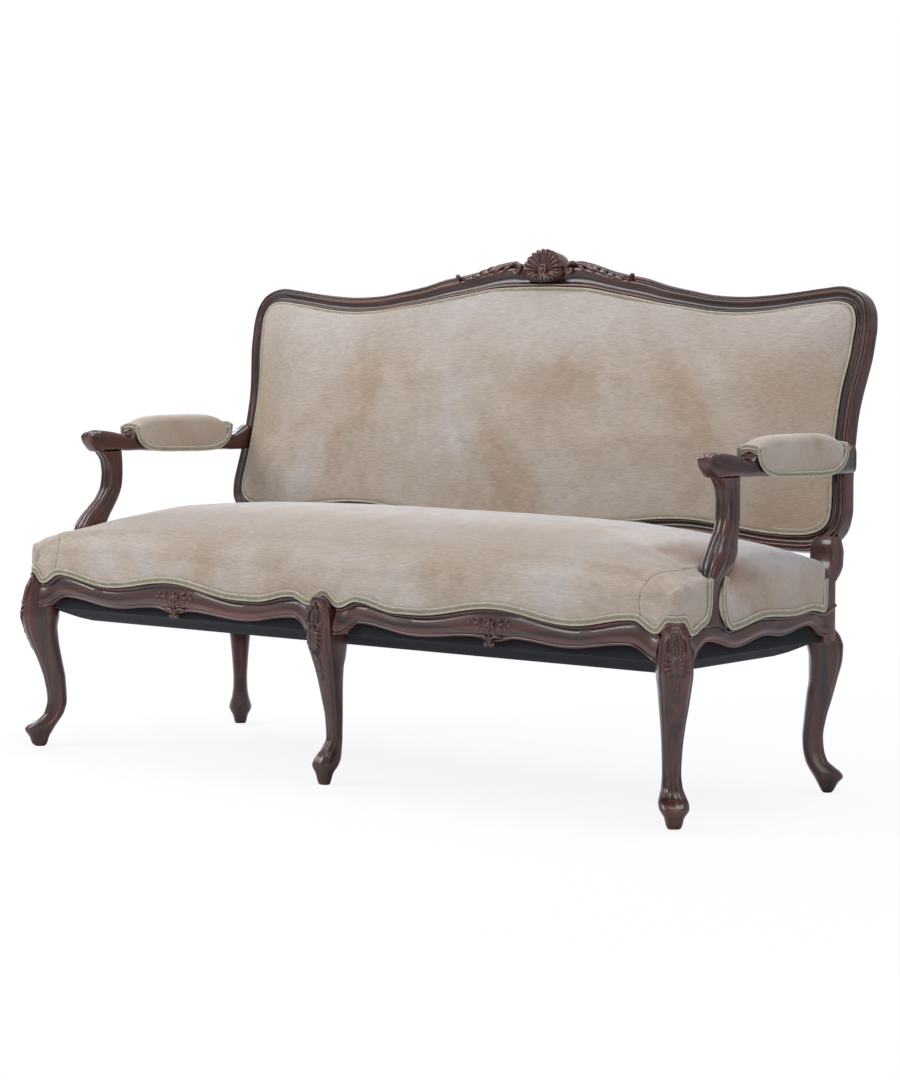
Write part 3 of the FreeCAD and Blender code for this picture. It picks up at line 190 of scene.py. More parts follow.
def eased(rows, t):
    """Row at t, the first column, on a smooth curve through the rows."""
    if t <= rows[0][0]:
        return rows[0]
    if t >= rows[-1][0]:
        return rows[-1]
    i = next(k for k in range(len(rows) - 1) if t <= rows[k + 1][0])
    before, a, b, after = rows[max(i - 1, 0)], rows[i], rows[i + 1], rows[min(i + 2, len(rows) - 1)]
    span = b[0] - a[0]
    f = (t - a[0]) / span
    values = [t]
    for p, va, vb, q in zip(before[1:], a[1:], b[1:], after[1:]):
        here = (vb - va) / span
        left = (va - p) / (a[0] - before[0]) if i else here
        right = (q - vb) / (after[0] - b[0]) if i + 2 < len(rows) else here
        start = 0.0 if left * here <= 0 else 2 * left * here / (left + here)
        end = 0.0 if right * here <= 0 else 2 * right * here / (right + here)
        values.append(va * (1 + 2 * f) * (1 - f) ** 2 + vb * f * f * (3 - 2 * f)
                      + span * (start * f * (1 - f) ** 2 - end * f * f * (1 - f)))
    return tuple(values)


def drawn(points, count):
    """Points evenly along a smooth curve through the given points, each a tuple of numbers."""
    rows = [(0.0,) + tuple(points[0])]
    for a, b in zip(points, points[1:]):
        rows.append((rows[-1][0] + math.dist(a[:2], b[:2]),) + tuple(b))
    result = []
    for s in spaced(0.0, rows[-1][0], count):
        i = next((k for k in range(len(rows) - 1) if s <= rows[k + 1][0]), len(rows) - 2)
        p0, p1, p2, p3 = rows[max(i - 1, 0)], rows[i], rows[i + 1], rows[min(i + 2, len(rows) - 1)]
        f = (s - p1[0]) / (p2[0] - p1[0])
        m1 = [(c - a) / (p2[0] - p0[0]) for a, c in zip(p0[1:], p2[1:])]
        m2 = [(c - a) / (p3[0] - p1[0]) for a, c in zip(p1[1:], p3[1:])]
        span = p2[0] - p1[0]
        result.append(tuple(a * (1 + 2 * f) * (1 - f) ** 2 + b * f * f * (3 - 2 * f)
                            + span * (u * f * (1 - f) ** 2 - v * f * f * (1 - f))
                            for a, b, u, v in zip(p1[1:], p2[1:], m1, m2)))
    return result


# Mesh making

def new_piece(name, verts, faces, coat, crease=42.0):
    """Object with a clean, smooth-shaded mesh whose normals point outwards."""
    mesh = bpy.data.meshes.new(name)
    mesh.from_pydata([tuple(v) for v in verts], [], faces)
    work = bmesh.new()
    work.from_mesh(mesh)
    bmesh.ops.remove_doubles(work, verts=work.verts, dist=1e-6)
    bmesh.ops.recalc_face_normals(work, faces=work.faces)
    work.to_mesh(mesh)
    work.free()
    mesh.shade_smooth()
    mesh.set_sharp_from_angle(angle=math.radians(crease))
    piece = bpy.data.objects.new(name, mesh)
    bpy.context.scene.collection.objects.link(piece)
    mesh.materials.append(coat)
    return piece


def skin(rings, closed=True, capped=True):
    """Vertices and faces of a skin through rings of equally many points."""
    width = len(rings[0])
    verts = [p for ring in rings for p in ring]
    faces = []
    for r in range(len(rings) - 1):
        for i in range(width if closed else width - 1):
            j = (i + 1) % width
            faces.append((r * width + i, r * width + j, (r + 1) * width + j, (r + 1) * width + i))
    if capped:
        faces.append(tuple(range(width)))
        faces.append(tuple((len(rings) - 1) * width + i for i in range(width)))
    return verts, faces


def merged(parts):
    """One list of vertices and faces from several."""
    verts, faces = [], []
    for v, f in parts:
        start = len(verts)
        verts += v
        faces += [tuple(start + i for i in face) for face in f]
    return verts, faces


def stroke(path, place, sides=8, height=0.75):
    """A tapered carved ridge: path rows are (s, t, radius), place maps (s, t, lift) onto the wood."""
    rings = []
    for i, (s, t, radius) in enumerate(path):
        a = path[max(i - 1, 0)]
        b = path[min(i + 1, len(path) - 1)]
        centre = place(s, t, 0.45 * radius)
        normal = (place(s, t, 0.45 * radius + 2.0) - centre).normalized()
        along = place(b[0], b[1], 0.0) - place(a[0], a[1], 0.0)
        side = along.cross(normal).normalized()
        ring = []
        for k in range(sides):
            turn = 2 * math.pi * k / sides
            ring.append(centre + normal * (radius * MM * height * math.cos(turn))
                        + side * (radius * MM * math.sin(turn)))
        rings.append(ring)
    return skin(rings)


def bead(place, s, t, radius, tall=1.0):
    """A carved half ball."""
    centre = place(s, t, 0.0)
    normal = (place(s, t, 2.0) - centre).normalized()
    one = normal.orthogonal().normalized()
    two = normal.cross(one)
    rings = []
    for lat in spaced(-80, 80, 7):
        r = radius * MM * math.cos(math.radians(lat))
        h = radius * MM * tall * math.sin(math.radians(lat))
        rings.append([centre + normal * h + one * (r * math.cos(a)) + two * (r * math.sin(a))
                      for a in spaced(0, 2 * math.pi, 13)[:-1]])
    return skin(rings)


def carving(name, parts, coat, grain=0.9):
    """Carved strokes melted into one relief."""
    piece = new_piece(name, *merged(parts), coat)
    melt = piece.modifiers.new("melt", "REMESH")
    melt.mode = "VOXEL"
    melt.voxel_size = grain * MM
    soften = piece.modifiers.new("soften", "SMOOTH")
    soften.factor = 0.5
    soften.iterations = 2
    return settled(piece, coat)


def settled(piece, coat):
    """The piece with its modifiers' result as a plain mesh."""
    graph = bpy.context.evaluated_depsgraph_get()
    mesh = bpy.data.meshes.new_from_object(piece.evaluated_get(graph), preserve_all_data_layers=True, depsgraph=graph)
    piece.modifiers.clear()
    old = piece.data
    piece.data = mesh
    bpy.data.meshes.remove(old)
    if coat is not None:
        mesh.materials.clear()
        mesh.materials.append(coat)
    mesh.shade_smooth()
    return piece


def joined(name, pieces):
    """Several objects as one, under a name."""
    work = bmesh.new()
    materials = []
    for piece in pieces:
        start = len(work.faces)
        work.from_mesh(piece.data)
        work.faces.ensure_lookup_table()
        slots = []
        for material in piece.data.materials:
            if material not in materials:
                materials.append(material)
            slots.append(materials.index(material))
        for face in work.faces[start:]:
            face.material_index = slots[min(face.material_index, len(slots) - 1)]
    mesh = bpy.data.meshes.new(name)
    work.to_mesh(mesh)
    work.free()
    for material in materials:
        mesh.materials.append(material)
    whole = bpy.data.objects.new(name, mesh)
    bpy.context.scene.collection.objects.link(whole)
    for piece in pieces:
        old = piece.data
        bpy.data.objects.remove(piece)
        bpy.data.meshes.remove(old)
    return whole


def mirrored(piece, name):
    """The same piece on the other side of the middle."""
    work = bmesh.new()
    work.from_mesh(piece.data)
    for v in work.verts:
        v.co.x = -v.co.x
    bmesh.ops.reverse_faces(work, faces=work.faces)
    mesh = bpy.data.meshes.new(name)
    work.to_mesh(mesh)
    work.free()
    for material in piece.data.materials:
        mesh.materials.append(material)
    other = bpy.data.objects.new(name, mesh)
    bpy.context.scene.collection.objects.link(other)
    return other


def seated(piece, finish_slot, *nodes):
    """Ride on the frame and stand for the nodes; finish_slot is not used."""
    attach(piece, "root")
    if nodes:
        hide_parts(*nodes)
    return piece


# Materials

def linear(colour):
    """Scene-linear colour from one as it looks."""
    return tuple(c / 12.92 if c <= 0.04045 else ((c + 0.055) / 1.055) ** 2.4 for c in colour[:3]) + (1.0,)


def add(nodes, kind, sockets=None, **settings):
    """Add a shader node, set it up and wire its inputs."""
    made = nodes.new(kind)
    for key, value in settings.items():
        setattr(made, key, value)
    for key, value in (sockets or {}).items():
        if isinstance(value, bpy.types.NodeSocket):
            nodes.id_data.links.new(value, made.inputs[key])
        else:
            made.inputs[key].default_value = value
    return made


def shader(name):
    """New material, its nodes, its main shader and the object coordinates."""
    material = bpy.data.materials.new(name)
    material.use_nodes = True
    nodes = material.node_tree.nodes
    main = nodes["Principled BSDF"]
    place = add(nodes, "ShaderNodeTexCoord").outputs["Object"]
    return material, nodes, main, place


def ramp(nodes, factor, stops):
    """Colour ramp from positions and colours."""
    made = add(nodes, "ShaderNodeValToRGB", {"Fac": factor})
    elements = made.color_ramp.elements
    while len(elements) < len(stops):
        elements.new(0.5)
    for element, (position, colour) in zip(elements, stops):
        element.position = position
        element.color = colour
    return made.outputs["Color"]


def mix(nodes, factor, a, b, blend="MIX"):
    """Mixed colour."""
    made = add(nodes, "ShaderNodeMix", data_type="RGBA", blend_type=blend)
    for index, value in ((0, factor), (6, a), (7, b)):
        if isinstance(value, bpy.types.NodeSocket):
            nodes.id_data.links.new(value, made.inputs[index])
        else:
            made.inputs[index].default_value = value
    return made.outputs[2]


def maths(nodes, operation, a, b=0.0, c=0.0):
    """One sum."""
    return add(nodes, "ShaderNodeMath", {0: a, 1: b, 2: c}, operation=operation).outputs[0]


def band(nodes, value, low, high, soft):
    """1 between two limits, with soft edges."""
    rise = add(nodes, "ShaderNodeMapRange", {"Value": value, "From Min": low - soft, "From Max": low + soft},
               interpolation_type="SMOOTHSTEP").outputs["Result"]
    fall = add(nodes, "ShaderNodeMapRange", {"Value": value, "From Min": high - soft, "From Max": high + soft},
               interpolation_type="SMOOTHSTEP").outputs["Result"]
    return maths(nodes, "SUBTRACT", rise, fall)


def lacquered_wood(look, name, along):
    """Stained wood with its grain along an axis, under satin lacquer."""
    material, nodes, main, place = shader(name)
    stretch = [1.0, 1.0, 1.0]
    stretch[along] = 0.09
    grain_place = add(nodes, "ShaderNodeMapping", {"Vector": place, "Scale": stretch}).outputs["Vector"]
    figure = add(nodes, "ShaderNodeTexNoise", {"Vector": grain_place, "Scale": 34.0, "Detail": 6.0, "Distortion": 1.4})
    pores = add(nodes, "ShaderNodeTexNoise", {"Vector": grain_place, "Scale": 620.0, "Detail": 2.0, "Roughness": 0.6})
    cloud = add(nodes, "ShaderNodeTexNoise", {"Vector": place, "Scale": 5.0, "Detail": 2.0})
    dark, light = linear(look.wood_dark), linear(look.wood_light)
    base = ramp(nodes, figure.outputs["Fac"], [(0.30, dark), (0.72, light)])
    shade = ramp(nodes, pores.outputs["Fac"], [(0.34, (0.5, 0.5, 0.5, 1)), (0.52, (1, 1, 1, 1))])
    base = mix(nodes, 0.55, base, shade, "MULTIPLY")
    tint = ramp(nodes, cloud.outputs["Fac"], [(0.3, (0.72, 0.66, 0.68, 1)), (0.7, (1.2, 1.12, 1.05, 1))])
    base = mix(nodes, 0.6, base, tint, "MULTIPLY")
    # Painted light from pointiness: darker in the crevices is painted shade, and lighter on sharp edges is edge wear
    # with a painted highlight.
    crevice_shade_edge_wear_highlight_mask = ramp(nodes, add(nodes, "ShaderNodeNewGeometry").outputs["Pointiness"],
                [(0.47, (0.0, 0.0, 0.0, 1)), (0.5, (0.45, 0.45, 0.45, 1)), (0.54, (1.0, 1.0, 1.0, 1))])
    edges = ramp(nodes, crevice_shade_edge_wear_highlight_mask, [(0.0, (0.35, 0.30, 0.32, 1)), (0.45, (1, 1, 1, 1)), (1.0, (1.75, 1.5, 1.4, 1))])
    base = mix(nodes, 0.85, base, edges, "MULTIPLY")
    nodes.id_data.links.new(base, main.inputs["Base Color"])
    gloss = add(nodes, "ShaderNodeMapRange", {"Value": cloud.outputs["Fac"], "To Min": look.wood_roughness - 0.06,
                                              "To Max": look.wood_roughness + 0.1}).outputs["Result"]
    nodes.id_data.links.new(gloss, main.inputs["Roughness"])
    main.inputs["Coat Weight"].default_value = 0.35
    main.inputs["Coat Roughness"].default_value = 0.14
    main.inputs["Specular IOR Level"].default_value = 0.5
    bump = add(nodes, "ShaderNodeBump", {"Height": pores.outputs["Fac"], "Strength": 0.12, "Distance": 0.0004})
    nodes.id_data.links.new(bump.outputs["Normal"], main.inputs["Normal"])
    return material


def velvet(look, name, patches=()):
    """Short velvet pile; patches are (axis bands, colour, strength): bands of colour laid over the pile, among them a
    painted sheen and a painted shadow on the seat.
    """
    material, nodes, main, place = shader(name)
    large = add(nodes, "ShaderNodeTexNoise", {"Vector": place, "Scale": 3.2, "Detail": 3.0, "Roughness": 0.55,
                                              "Distortion": 0.6}).outputs["Fac"]
    small = add(nodes, "ShaderNodeTexNoise", {"Vector": place, "Scale": 26.0, "Detail": 4.0}).outputs["Fac"]
    pile = add(nodes, "ShaderNodeTexNoise", {"Vector": place, "Scale": 900.0, "Detail": 2.0}).outputs["Fac"]
    stretched = add(nodes, "ShaderNodeMapping", {"Vector": place, "Scale": (0.12, 1.0, 1.0)}).outputs["Vector"]
    weft = add(nodes, "ShaderNodeTexNoise", {"Vector": stretched, "Scale": 420.0, "Detail": 2.0}).outputs["Fac"]
    base = ramp(nodes, large, [(0.34, linear(look.velvet_tan)), (0.52, linear(look.velvet)),
                               (0.72, linear(look.velvet_grey))])
    base = mix(nodes, 0.5, base, ramp(nodes, small, [(0.3, (0.86, 0.85, 0.83, 1)), (0.7, (1.1, 1.1, 1.11, 1))]),
               "MULTIPLY")
    parted = add(nodes, "ShaderNodeSeparateXYZ", {"Vector": place})
    # Each patch paints its colour over the pile; on the seat one is a painted shadow and one a painted sheen.
    for bands, colour, strength in patches:
        mask = strength
        for axis, low, high, soft in bands:
            wander = maths(nodes, "MULTIPLY_ADD", small, soft * 0.8, parted.outputs[axis])
            mask = maths(nodes, "MULTIPLY", mask, band(nodes, wander, low, high, soft))
        base = mix(nodes, mask, base, linear(colour))
    base = mix(nodes, 0.5, base, ramp(nodes, weft, [(0.35, (0.80, 0.78, 0.76, 1)), (0.62, (1.12, 1.12, 1.12, 1))]),
               "MULTIPLY")
    base = mix(nodes, 0.4, base, ramp(nodes, pile, [(0.36, (0.72, 0.70, 0.68, 1)), (0.6, (1.16, 1.16, 1.16, 1))]),
               "MULTIPLY")
    nodes.id_data.links.new(base, main.inputs["Base Color"])
    main.inputs["Roughness"].default_value = 0.92
    main.inputs["Specular IOR Level"].default_value = 0.15
    main.inputs["Sheen Weight"].default_value = 0.45
    main.inputs["Sheen Roughness"].default_value = 0.4
    main.inputs["Sheen Tint"].default_value = (0.86, 0.90, 1.0, 1.0)
    relief = maths(nodes, "ADD", pile, maths(nodes, "MULTIPLY", weft, 0.8))
    bump = add(nodes, "ShaderNodeBump", {"Height": relief, "Strength": 0.28, "Distance": 0.0006})
    nodes.id_data.links.new(bump.outputs["Normal"], main.inputs["Normal"])
    return material


def yarn(name, colour, shade, scale=700.0, rough=0.75):
    """Twisted thread for braid and seams."""
    material, nodes, main, place = shader(name)
    twist = add(nodes, "ShaderNodeTexWave", {"Vector": place, "Scale": scale, "Distortion": 2.0, "Detail": 1.0},
                bands_direction="DIAGONAL").outputs["Fac"]
    spots = add(nodes, "ShaderNodeTexNoise", {"Vector": place, "Scale": 90.0, "Detail": 3.0}).outputs["Fac"]
    # The twist mixes the colour with its darker copy: painted shade in the grooves between the plies.
    base = mix(nodes, twist, linear(shade), linear(colour))
    base = mix(nodes, 0.5, base, ramp(nodes, spots, [(0.3, (0.7, 0.7, 0.66, 1)), (0.7, (1.15, 1.15, 1.15, 1))]),
               "MULTIPLY")
    nodes.id_data.links.new(base, main.inputs["Base Color"])
    main.inputs["Roughness"].default_value = rough
    main.inputs["Sheen Weight"].default_value = 0.2
    bump = add(nodes, "ShaderNodeBump", {"Height": twist, "Strength": 0.4, "Distance": 0.0004})
    nodes.id_data.links.new(bump.outputs["Normal"], main.inputs["Normal"])
    return material


def woven(name, colour, shade, thread=0.0009, rough=0.9):
    """Plain woven cloth such as cambric, jute or backing."""
    material, nodes, main, place = shader(name)
    turn = math.pi / thread / 10
    parted = add(nodes, "ShaderNodeSeparateXYZ", {"Vector": place})
    across = maths(nodes, "SINE", maths(nodes, "MULTIPLY", parted.outputs["X"], turn * 10))
    height = maths(nodes, "ADD", parted.outputs["Y"], parted.outputs["Z"])
    along = maths(nodes, "SINE", maths(nodes, "MULTIPLY", height, turn * 10))
    weave = maths(nodes, "MULTIPLY_ADD", maths(nodes, "MULTIPLY", across, along), 0.5, 0.5)
    slub = add(nodes, "ShaderNodeTexNoise", {"Vector": place, "Scale": 60.0, "Detail": 5.0}).outputs["Fac"]
    # The weave mixes the colour with its darker copy: painted shade where the threads dip under each other.
    base = mix(nodes, weave, linear(shade), linear(colour))
    base = mix(nodes, 0.6, base, ramp(nodes, slub, [(0.3, (0.75, 0.75, 0.75, 1)), (0.7, (1.15, 1.15, 1.15, 1))]),
               "MULTIPLY")
    nodes.id_data.links.new(base, main.inputs["Base Color"])
    main.inputs["Roughness"].default_value = rough
    bump = add(nodes, "ShaderNodeBump", {"Height": weave, "Strength": 0.35, "Distance": 0.0003})
    nodes.id_data.links.new(bump.outputs["Normal"], main.inputs["Normal"])
    return material


def drawn_steel(name):
    """Drawn wire and pressed steel with a dull skin."""
    material, nodes, main, place = shader(name)
    spots = add(nodes, "ShaderNodeTexNoise", {"Vector": place, "Scale": 240.0, "Detail": 4.0}).outputs["Fac"]
    base = ramp(nodes, spots, [(0.3, (0.16, 0.15, 0.14, 1)), (0.7, (0.42, 0.41, 0.40, 1))])
    nodes.id_data.links.new(base, main.inputs["Base Color"])
    main.inputs["Metallic"].default_value = 0.9
    main.inputs["Roughness"].default_value = 0.38
    return material


def wadding(name, colour):
    """Fibre stuffing."""
    material, nodes, main, place = shader(name)
    fluff = add(nodes, "ShaderNodeTexNoise", {"Vector": place, "Scale": 130.0, "Detail": 8.0}).outputs["Fac"]
    base = mix(nodes, fluff, linear([c * 0.7 for c in colour]), linear(colour))
    nodes.id_data.links.new(base, main.inputs["Base Color"])
    main.inputs["Roughness"].default_value = 1.0
    bump = add(nodes, "ShaderNodeBump", {"Height": fluff, "Strength": 0.6, "Distance": 0.002})
    nodes.id_data.links.new(bump.outputs["Normal"], main.inputs["Normal"])
    return material


FINISHES = {}


def finish(key):
    """A finish by name, made once from the panel's colours."""
    look = bpy.context.scene.settee
    if key not in FINISHES:
        sides = [((0, 0.60, 2.0, 0.09),), ((0, -2.0, -0.66, 0.07),)]
        makers = {
            "wood_x": lambda: lacquered_wood(look, "show wood, grain sideways", 0),
            "wood_y": lambda: lacquered_wood(look, "show wood, grain front to back", 1),
            "wood_z": lambda: lacquered_wood(look, "show wood, grain upright", 2),
            "seat": lambda: velvet(look, "seat velvet", [
                # Seat patches: a tan band along the front crown, a painted shadow in brown behind the right arm post,
                # and a painted sheen in velvet grey over the seat top.
                (((1, -0.30, -0.16, 0.05), (2, 0.45, 0.60, 0.015)), (0.62, 0.56, 0.50), 0.7),
                (((0, 0.70, 0.86, 0.03), (1, -0.19, -0.06, 0.025), (2, 0.43, 0.60, 0.01)), (0.50, 0.37, 0.29), 0.7),
                (((1, -0.06, 0.30, 0.08), (2, 0.45, 0.60, 0.02)), look.velvet_grey, 0.75)]),
            "back": lambda: velvet(look, "back velvet", [
                (sides[0], (0.67, 0.59, 0.51), 0.7), (sides[1], (0.65, 0.58, 0.49), 0.55),
                (((2, 0.86, 1.2, 0.06),), look.velvet_grey, 0.45)]),
            "pad": lambda: velvet(look, "arm pad velvet", [(((2, 0.0, 0.668, 0.012),), look.velvet_tan, 0.35)]),
            # Each yarn's darker copy is its painted shade between the plies.
            "braid": lambda: yarn("ivory braid", look.braid, [c * 0.62 for c in look.braid]),
            "zigzag": lambda: yarn("olive zigzag", look.braid_zigzag, [c * 0.6 for c in look.braid_zigzag]),
            "thread": lambda: yarn("seam thread", look.velvet_tan, [c * 0.6 for c in look.velvet_tan]),
            # The second colour of each cloth is its painted shade in the weave's hollows.
            "cambric": lambda: woven("black cambric", (0.085, 0.095, 0.13), (0.035, 0.04, 0.06)),
            "backing": lambda: woven("beige backing cloth", (0.66, 0.59, 0.50), (0.50, 0.43, 0.36)),
            "jute": lambda: woven("raw jute", (0.60, 0.48, 0.33), (0.38, 0.29, 0.18), 0.0016),
            "steel": lambda: drawn_steel("drawn steel"),
            "wadding": lambda: wadding("fibre wadding", (0.86, 0.82, 0.74)),
        }
        FINISHES[key] = makers[key]()
    return FINISHES[key]


# Legs

def leg_place(table, foot_x, foot_depth, out):
    """Maps a turn round a leg and a height to a point, and a sideways distance and height to its front."""
    outward = Vector((out[0], out[1], 0)).normalized()
    across = Vector((-outward.y, outward.x, 0))
    power = 2.9

    def ring_point(z, turn, lift=0.0):
        _, reach, back, width = eased(table, z)
        a, b = (reach + back) / 2 + lift, width / 2 + lift
        c, s = math.cos(turn), math.sin(turn)
        k = (abs(c) ** power + abs(s) ** power) ** (-1 / power)
        return at(foot_x, foot_depth, z) + (outward * ((reach - back) / 2 + k * c * a) + across * (k * s * b)) * MM

    def front_point(s, z, lift=0.0):
        _, reach, back, width = eased(table, z)
        a, b = (reach + back) / 2, width / 2
        share = min(abs(s) / b, 0.985)
        rise = (1 - share ** power) ** (1 / power)
        tilt = share ** (power - 1)
        normal = (outward * (1 - 0.6 * tilt) + across * math.copysign(tilt, s)).normalized()
        base = outward * ((reach - back) / 2 + rise * a) + across * math.copysign(share * b, s)
        return at(foot_x, foot_depth, z) + (base + normal * lift) * MM
    return ring_point, front_point


def leg_form(ring_point, top):
    """Skin of a leg with raised fillets along its edges and reeds over the toe."""
    rings = []
    for z in spaced(0, top, int(top / 2.6)):
        ring = []
        for turn in spaced(-math.pi, math.pi, 121)[:-1]:
            lift = 0.0
            fade = min(1.0, max(0.0, (z - 44) / 14)) * min(1.0, max(0.0, (top - 4 - z) / 20))
            for edge in (-1.02, 1.02):
                lift += fade * (1.0 * math.exp(-((turn - edge) / 0.075) ** 2)
                                - 0.9 * math.exp(-((abs(turn) - 0.86) / 0.075) ** 2) * 0.5)
            ankle = math.exp(-((z - 78) / 30) ** 2)
            if abs(turn) < 0.8:
                lift += ankle * 0.8 * math.cos(turn * 14)
            ring.append(ring_point(z, turn, lift))
        rings.append(ring)
    return skin(rings)


def scroll(s, z, size, start, sweep, thick, hand=1):
    """A path that curls into an eye."""
    path = []
    for f in spaced(0, 1, 18):
        angle = math.radians(start + hand * sweep * f)
        reach = size * (1 - 0.78 * f)
        path.append((s + reach * math.cos(angle), z + reach * math.sin(angle),
                     thick * (0.55 + 0.45 * math.sin(math.pi * f))))
    return path


def knee_carving(place, wide, low):
    """Arched hood, scrolled cartouche, leaf and husks of a knee."""
    parts = []
    hood = [(wide * math.sin(a), 345 + 21 * math.cos(a), 2.6) for a in spaced(-1.45, 1.45, 26)]
    parts.append(stroke(hood, place, height=1.0))
    inner = [((wide - 5) * math.sin(a), 337 + 20 * math.cos(a), 1.5) for a in spaced(-1.5, 1.5, 24)]
    parts.append(stroke(inner, place))
    for hand in (-1, 1):
        side = [(hand * s, z, r) for s, z, r in [(3, 352, 2.2), (9, 350, 3.0), (15, 343, 3.2), (18.5, 333, 3.2),
                                                 (19, 322, 3.0), (17, 312, 2.7), (12.5, 305, 2.4), (8, 304, 2.0)]]
        parts.append(stroke(drawn(side, 22), place))
        parts.append(stroke([(hand * s, z, r) for s, z, r in scroll(13, 346, 6.5, 60, 400, 2.2, -1)], place))
        parts.append(stroke([(hand * s, z, r) for s, z, r in scroll(14, 311, 6.0, -60, 400, 2.2)], place))
        parts.append(bead(place, hand * 13, 346, 2.7, 1.5))
        parts.append(bead(place, hand * 14, 311, 2.7, 1.5))
        for lobe in range(5):
            z0 = 338 - 6.4 * lobe
            vein = [(hand * 1.8, z0 + 5, 1.0), (hand * 5.5, z0 + 1, 2.1), (hand * (10.5 - 0.5 * lobe), z0 - 5.5, 1.0)]
            parts.append(stroke(drawn(vein, 10), place))
        for lobe, (s1, z1, s2, z2, r) in enumerate([(7, 298, 21, 300, 3.0), (8, 292, 23, 288, 3.1), (7, 286, 20, 275, 3.2),
                                                    (5, 281, 14, 263, 3.0), (3, 276, 8, 253, 2.6)]):
            leaf = [(hand * 2.0, 303 - lobe * 3, 1.6), (hand * s1, z1, r), (hand * (s1 + s2) * 0.55, (z1 + z2) / 2 - 2, r),
                    (hand * s2, z2, 0.9)]
            parts.append(stroke(drawn(leaf, 14), place))
        for husk in range(3):
            z0 = low - 10 - husk * 15
            petal = [(hand * 1.0, z0 + 10, 1.4), (hand * (4.6 - husk * 0.8), z0 + 3, 1.9 - 0.2 * husk),
                     (hand * 3.0, z0 - 6, 0.7)]
            parts.append(stroke(drawn(petal, 9), place))
    spine = [(0, 350, 2.4), (0, 338, 3.6), (0, 322, 3.4), (0, 308, 2.8), (0, 296, 2.4), (0, 270, 2.6), (0, 246, 1.6)]
    parts.append(stroke(drawn(spine, 34), place, height=1.0))
    parts.append(bead(place, 0, 304, 5.0, 1.0))
    for husk in range(3):
        z0 = low - 10 - husk * 15
        parts.append(stroke([(0, z0 + 10, 1.2), (0, z0 + 2, 2.3 - 0.3 * husk), (0, z0 - 8, 0.8)], place, height=1.0))
    return parts


def block(x0, x1, d0, d1, z0, z1, round_by=2.0):
    """Upright post with eased corners."""
    rings = []
    for z, shrink in ((z0, 0), (z1 - 1, 0), (z1, 1)):
        ring = []
        for cx, cy, start in ((x1, d1, 0), (x0, d1, 90), (x0, d0, 180), (x1, d0, 270)):
            sx, sy = (-1 if cx == x1 else 1), (-1 if cy == d1 else 1)
            for a in spaced(start, start + 90, 4):
                r = math.radians(a)
                ring.append(at(cx + sx * (round_by + shrink) + round_by * math.cos(r),
                               cy + sy * (round_by + shrink) + round_by * math.sin(r), z))
        rings.append(ring)
    return skin(rings)


def front_leg(name, finish_key):
    """A front corner leg with its post and carved knee."""
    ring_point, front_point = leg_place(CORNER_LEG, FEET_X, 0, (1, -1))
    body = new_piece(name + " body", *merged([
        leg_form(ring_point, LEG_TOP),
        block(POST_IN, POST_OUT, SHOW_DEPTH, POST_BACK, 300, 346),
        block(POST_IN, POST_OUT - REBATE, SHOW_DEPTH + REBATE, POST_BACK, 340, RAIL_TOP)]), finish(finish_key))
    return joined(name, [body, carving(name + " knee", knee_carving(front_point, 26, 250), finish(finish_key))])


def centre_leg(name, finish_key):
    """The front centre leg with its post and carved knee."""
    ring_point, front_point = leg_place(CENTRE_LEG, 0, -CENTRE_FOOT_OUT, (0, -1))
    body = new_piece(name + " body", *merged([
        leg_form(ring_point, LEG_TOP),
        block(-CENTRE_POST_HALF, CENTRE_POST_HALF, SHOW_DEPTH, SHOW_DEPTH + RAIL_THICK, 296, 346),
        block(-CENTRE_POST_HALF, CENTRE_POST_HALF, SHOW_DEPTH + REBATE, SHOW_DEPTH + RAIL_THICK, 340, RAIL_TOP)]),
        finish(finish_key))
    return joined(name, [body, carving(name + " knee", knee_carving(front_point, 27, 250), finish(finish_key))])


def rear_leg(name, finish_key):
    """A rear leg in one piece with the rear post and its scrolled console."""
    ring_point, _ = leg_place(REAR_LEG, REAR_FEET_X, FEET_DEPTH, (1, 1))
    rings = []
    for z in spaced(292, 490, 80):
        _, inner, outer, front, back = eased(CONSOLE, z)
        x0, x1 = REAR_FEET_X - inner, REAR_FEET_X + outer
        d0, d1 = FEET_DEPTH - front, FEET_DEPTH - back
        curl = min(1.0, max(0.0, (z - 408) / 20))
        ring = []
        for u in spaced(-1, 1, 15):
            dish = curl * (5.5 * (1 - u * u) ** 0.8 + 1.6 * math.exp(-((abs(u) - 0.80) / 0.07) ** 2))
            ring.append(at((x0 + x1) / 2 + u * (x1 - x0) / 2, d0 + dish, z))
        ring += [at(x1, d0 + (d1 - d0) * f, z) for f in (0.12, 0.4, 0.7, 0.93)]
        ring += [at(x1 - 2, d1, z), at(x0 + 2, d1, z)]
        ring += [at(x0, d0 + (d1 - d0) * f, z) for f in (0.93, 0.5, 0.12)]
        rings.append(ring)
    lip = [(REAR_POST_FRONT + 1 + f * 38, 346 + 15 * f ** 1.2, 4.6 - 1.2 * f) for f in spaced(0, 1, 12)]

    def on_side(depth, z, lift):
        return at(REAR_POST_OUT + 0.5 * lift, depth, z)
    return new_piece(name, *merged([leg_form(ring_point, REAR_LEG_TOP), skin(rings),
                                    stroke(lip, on_side, height=0.4)]), finish(finish_key))


# Seat rails

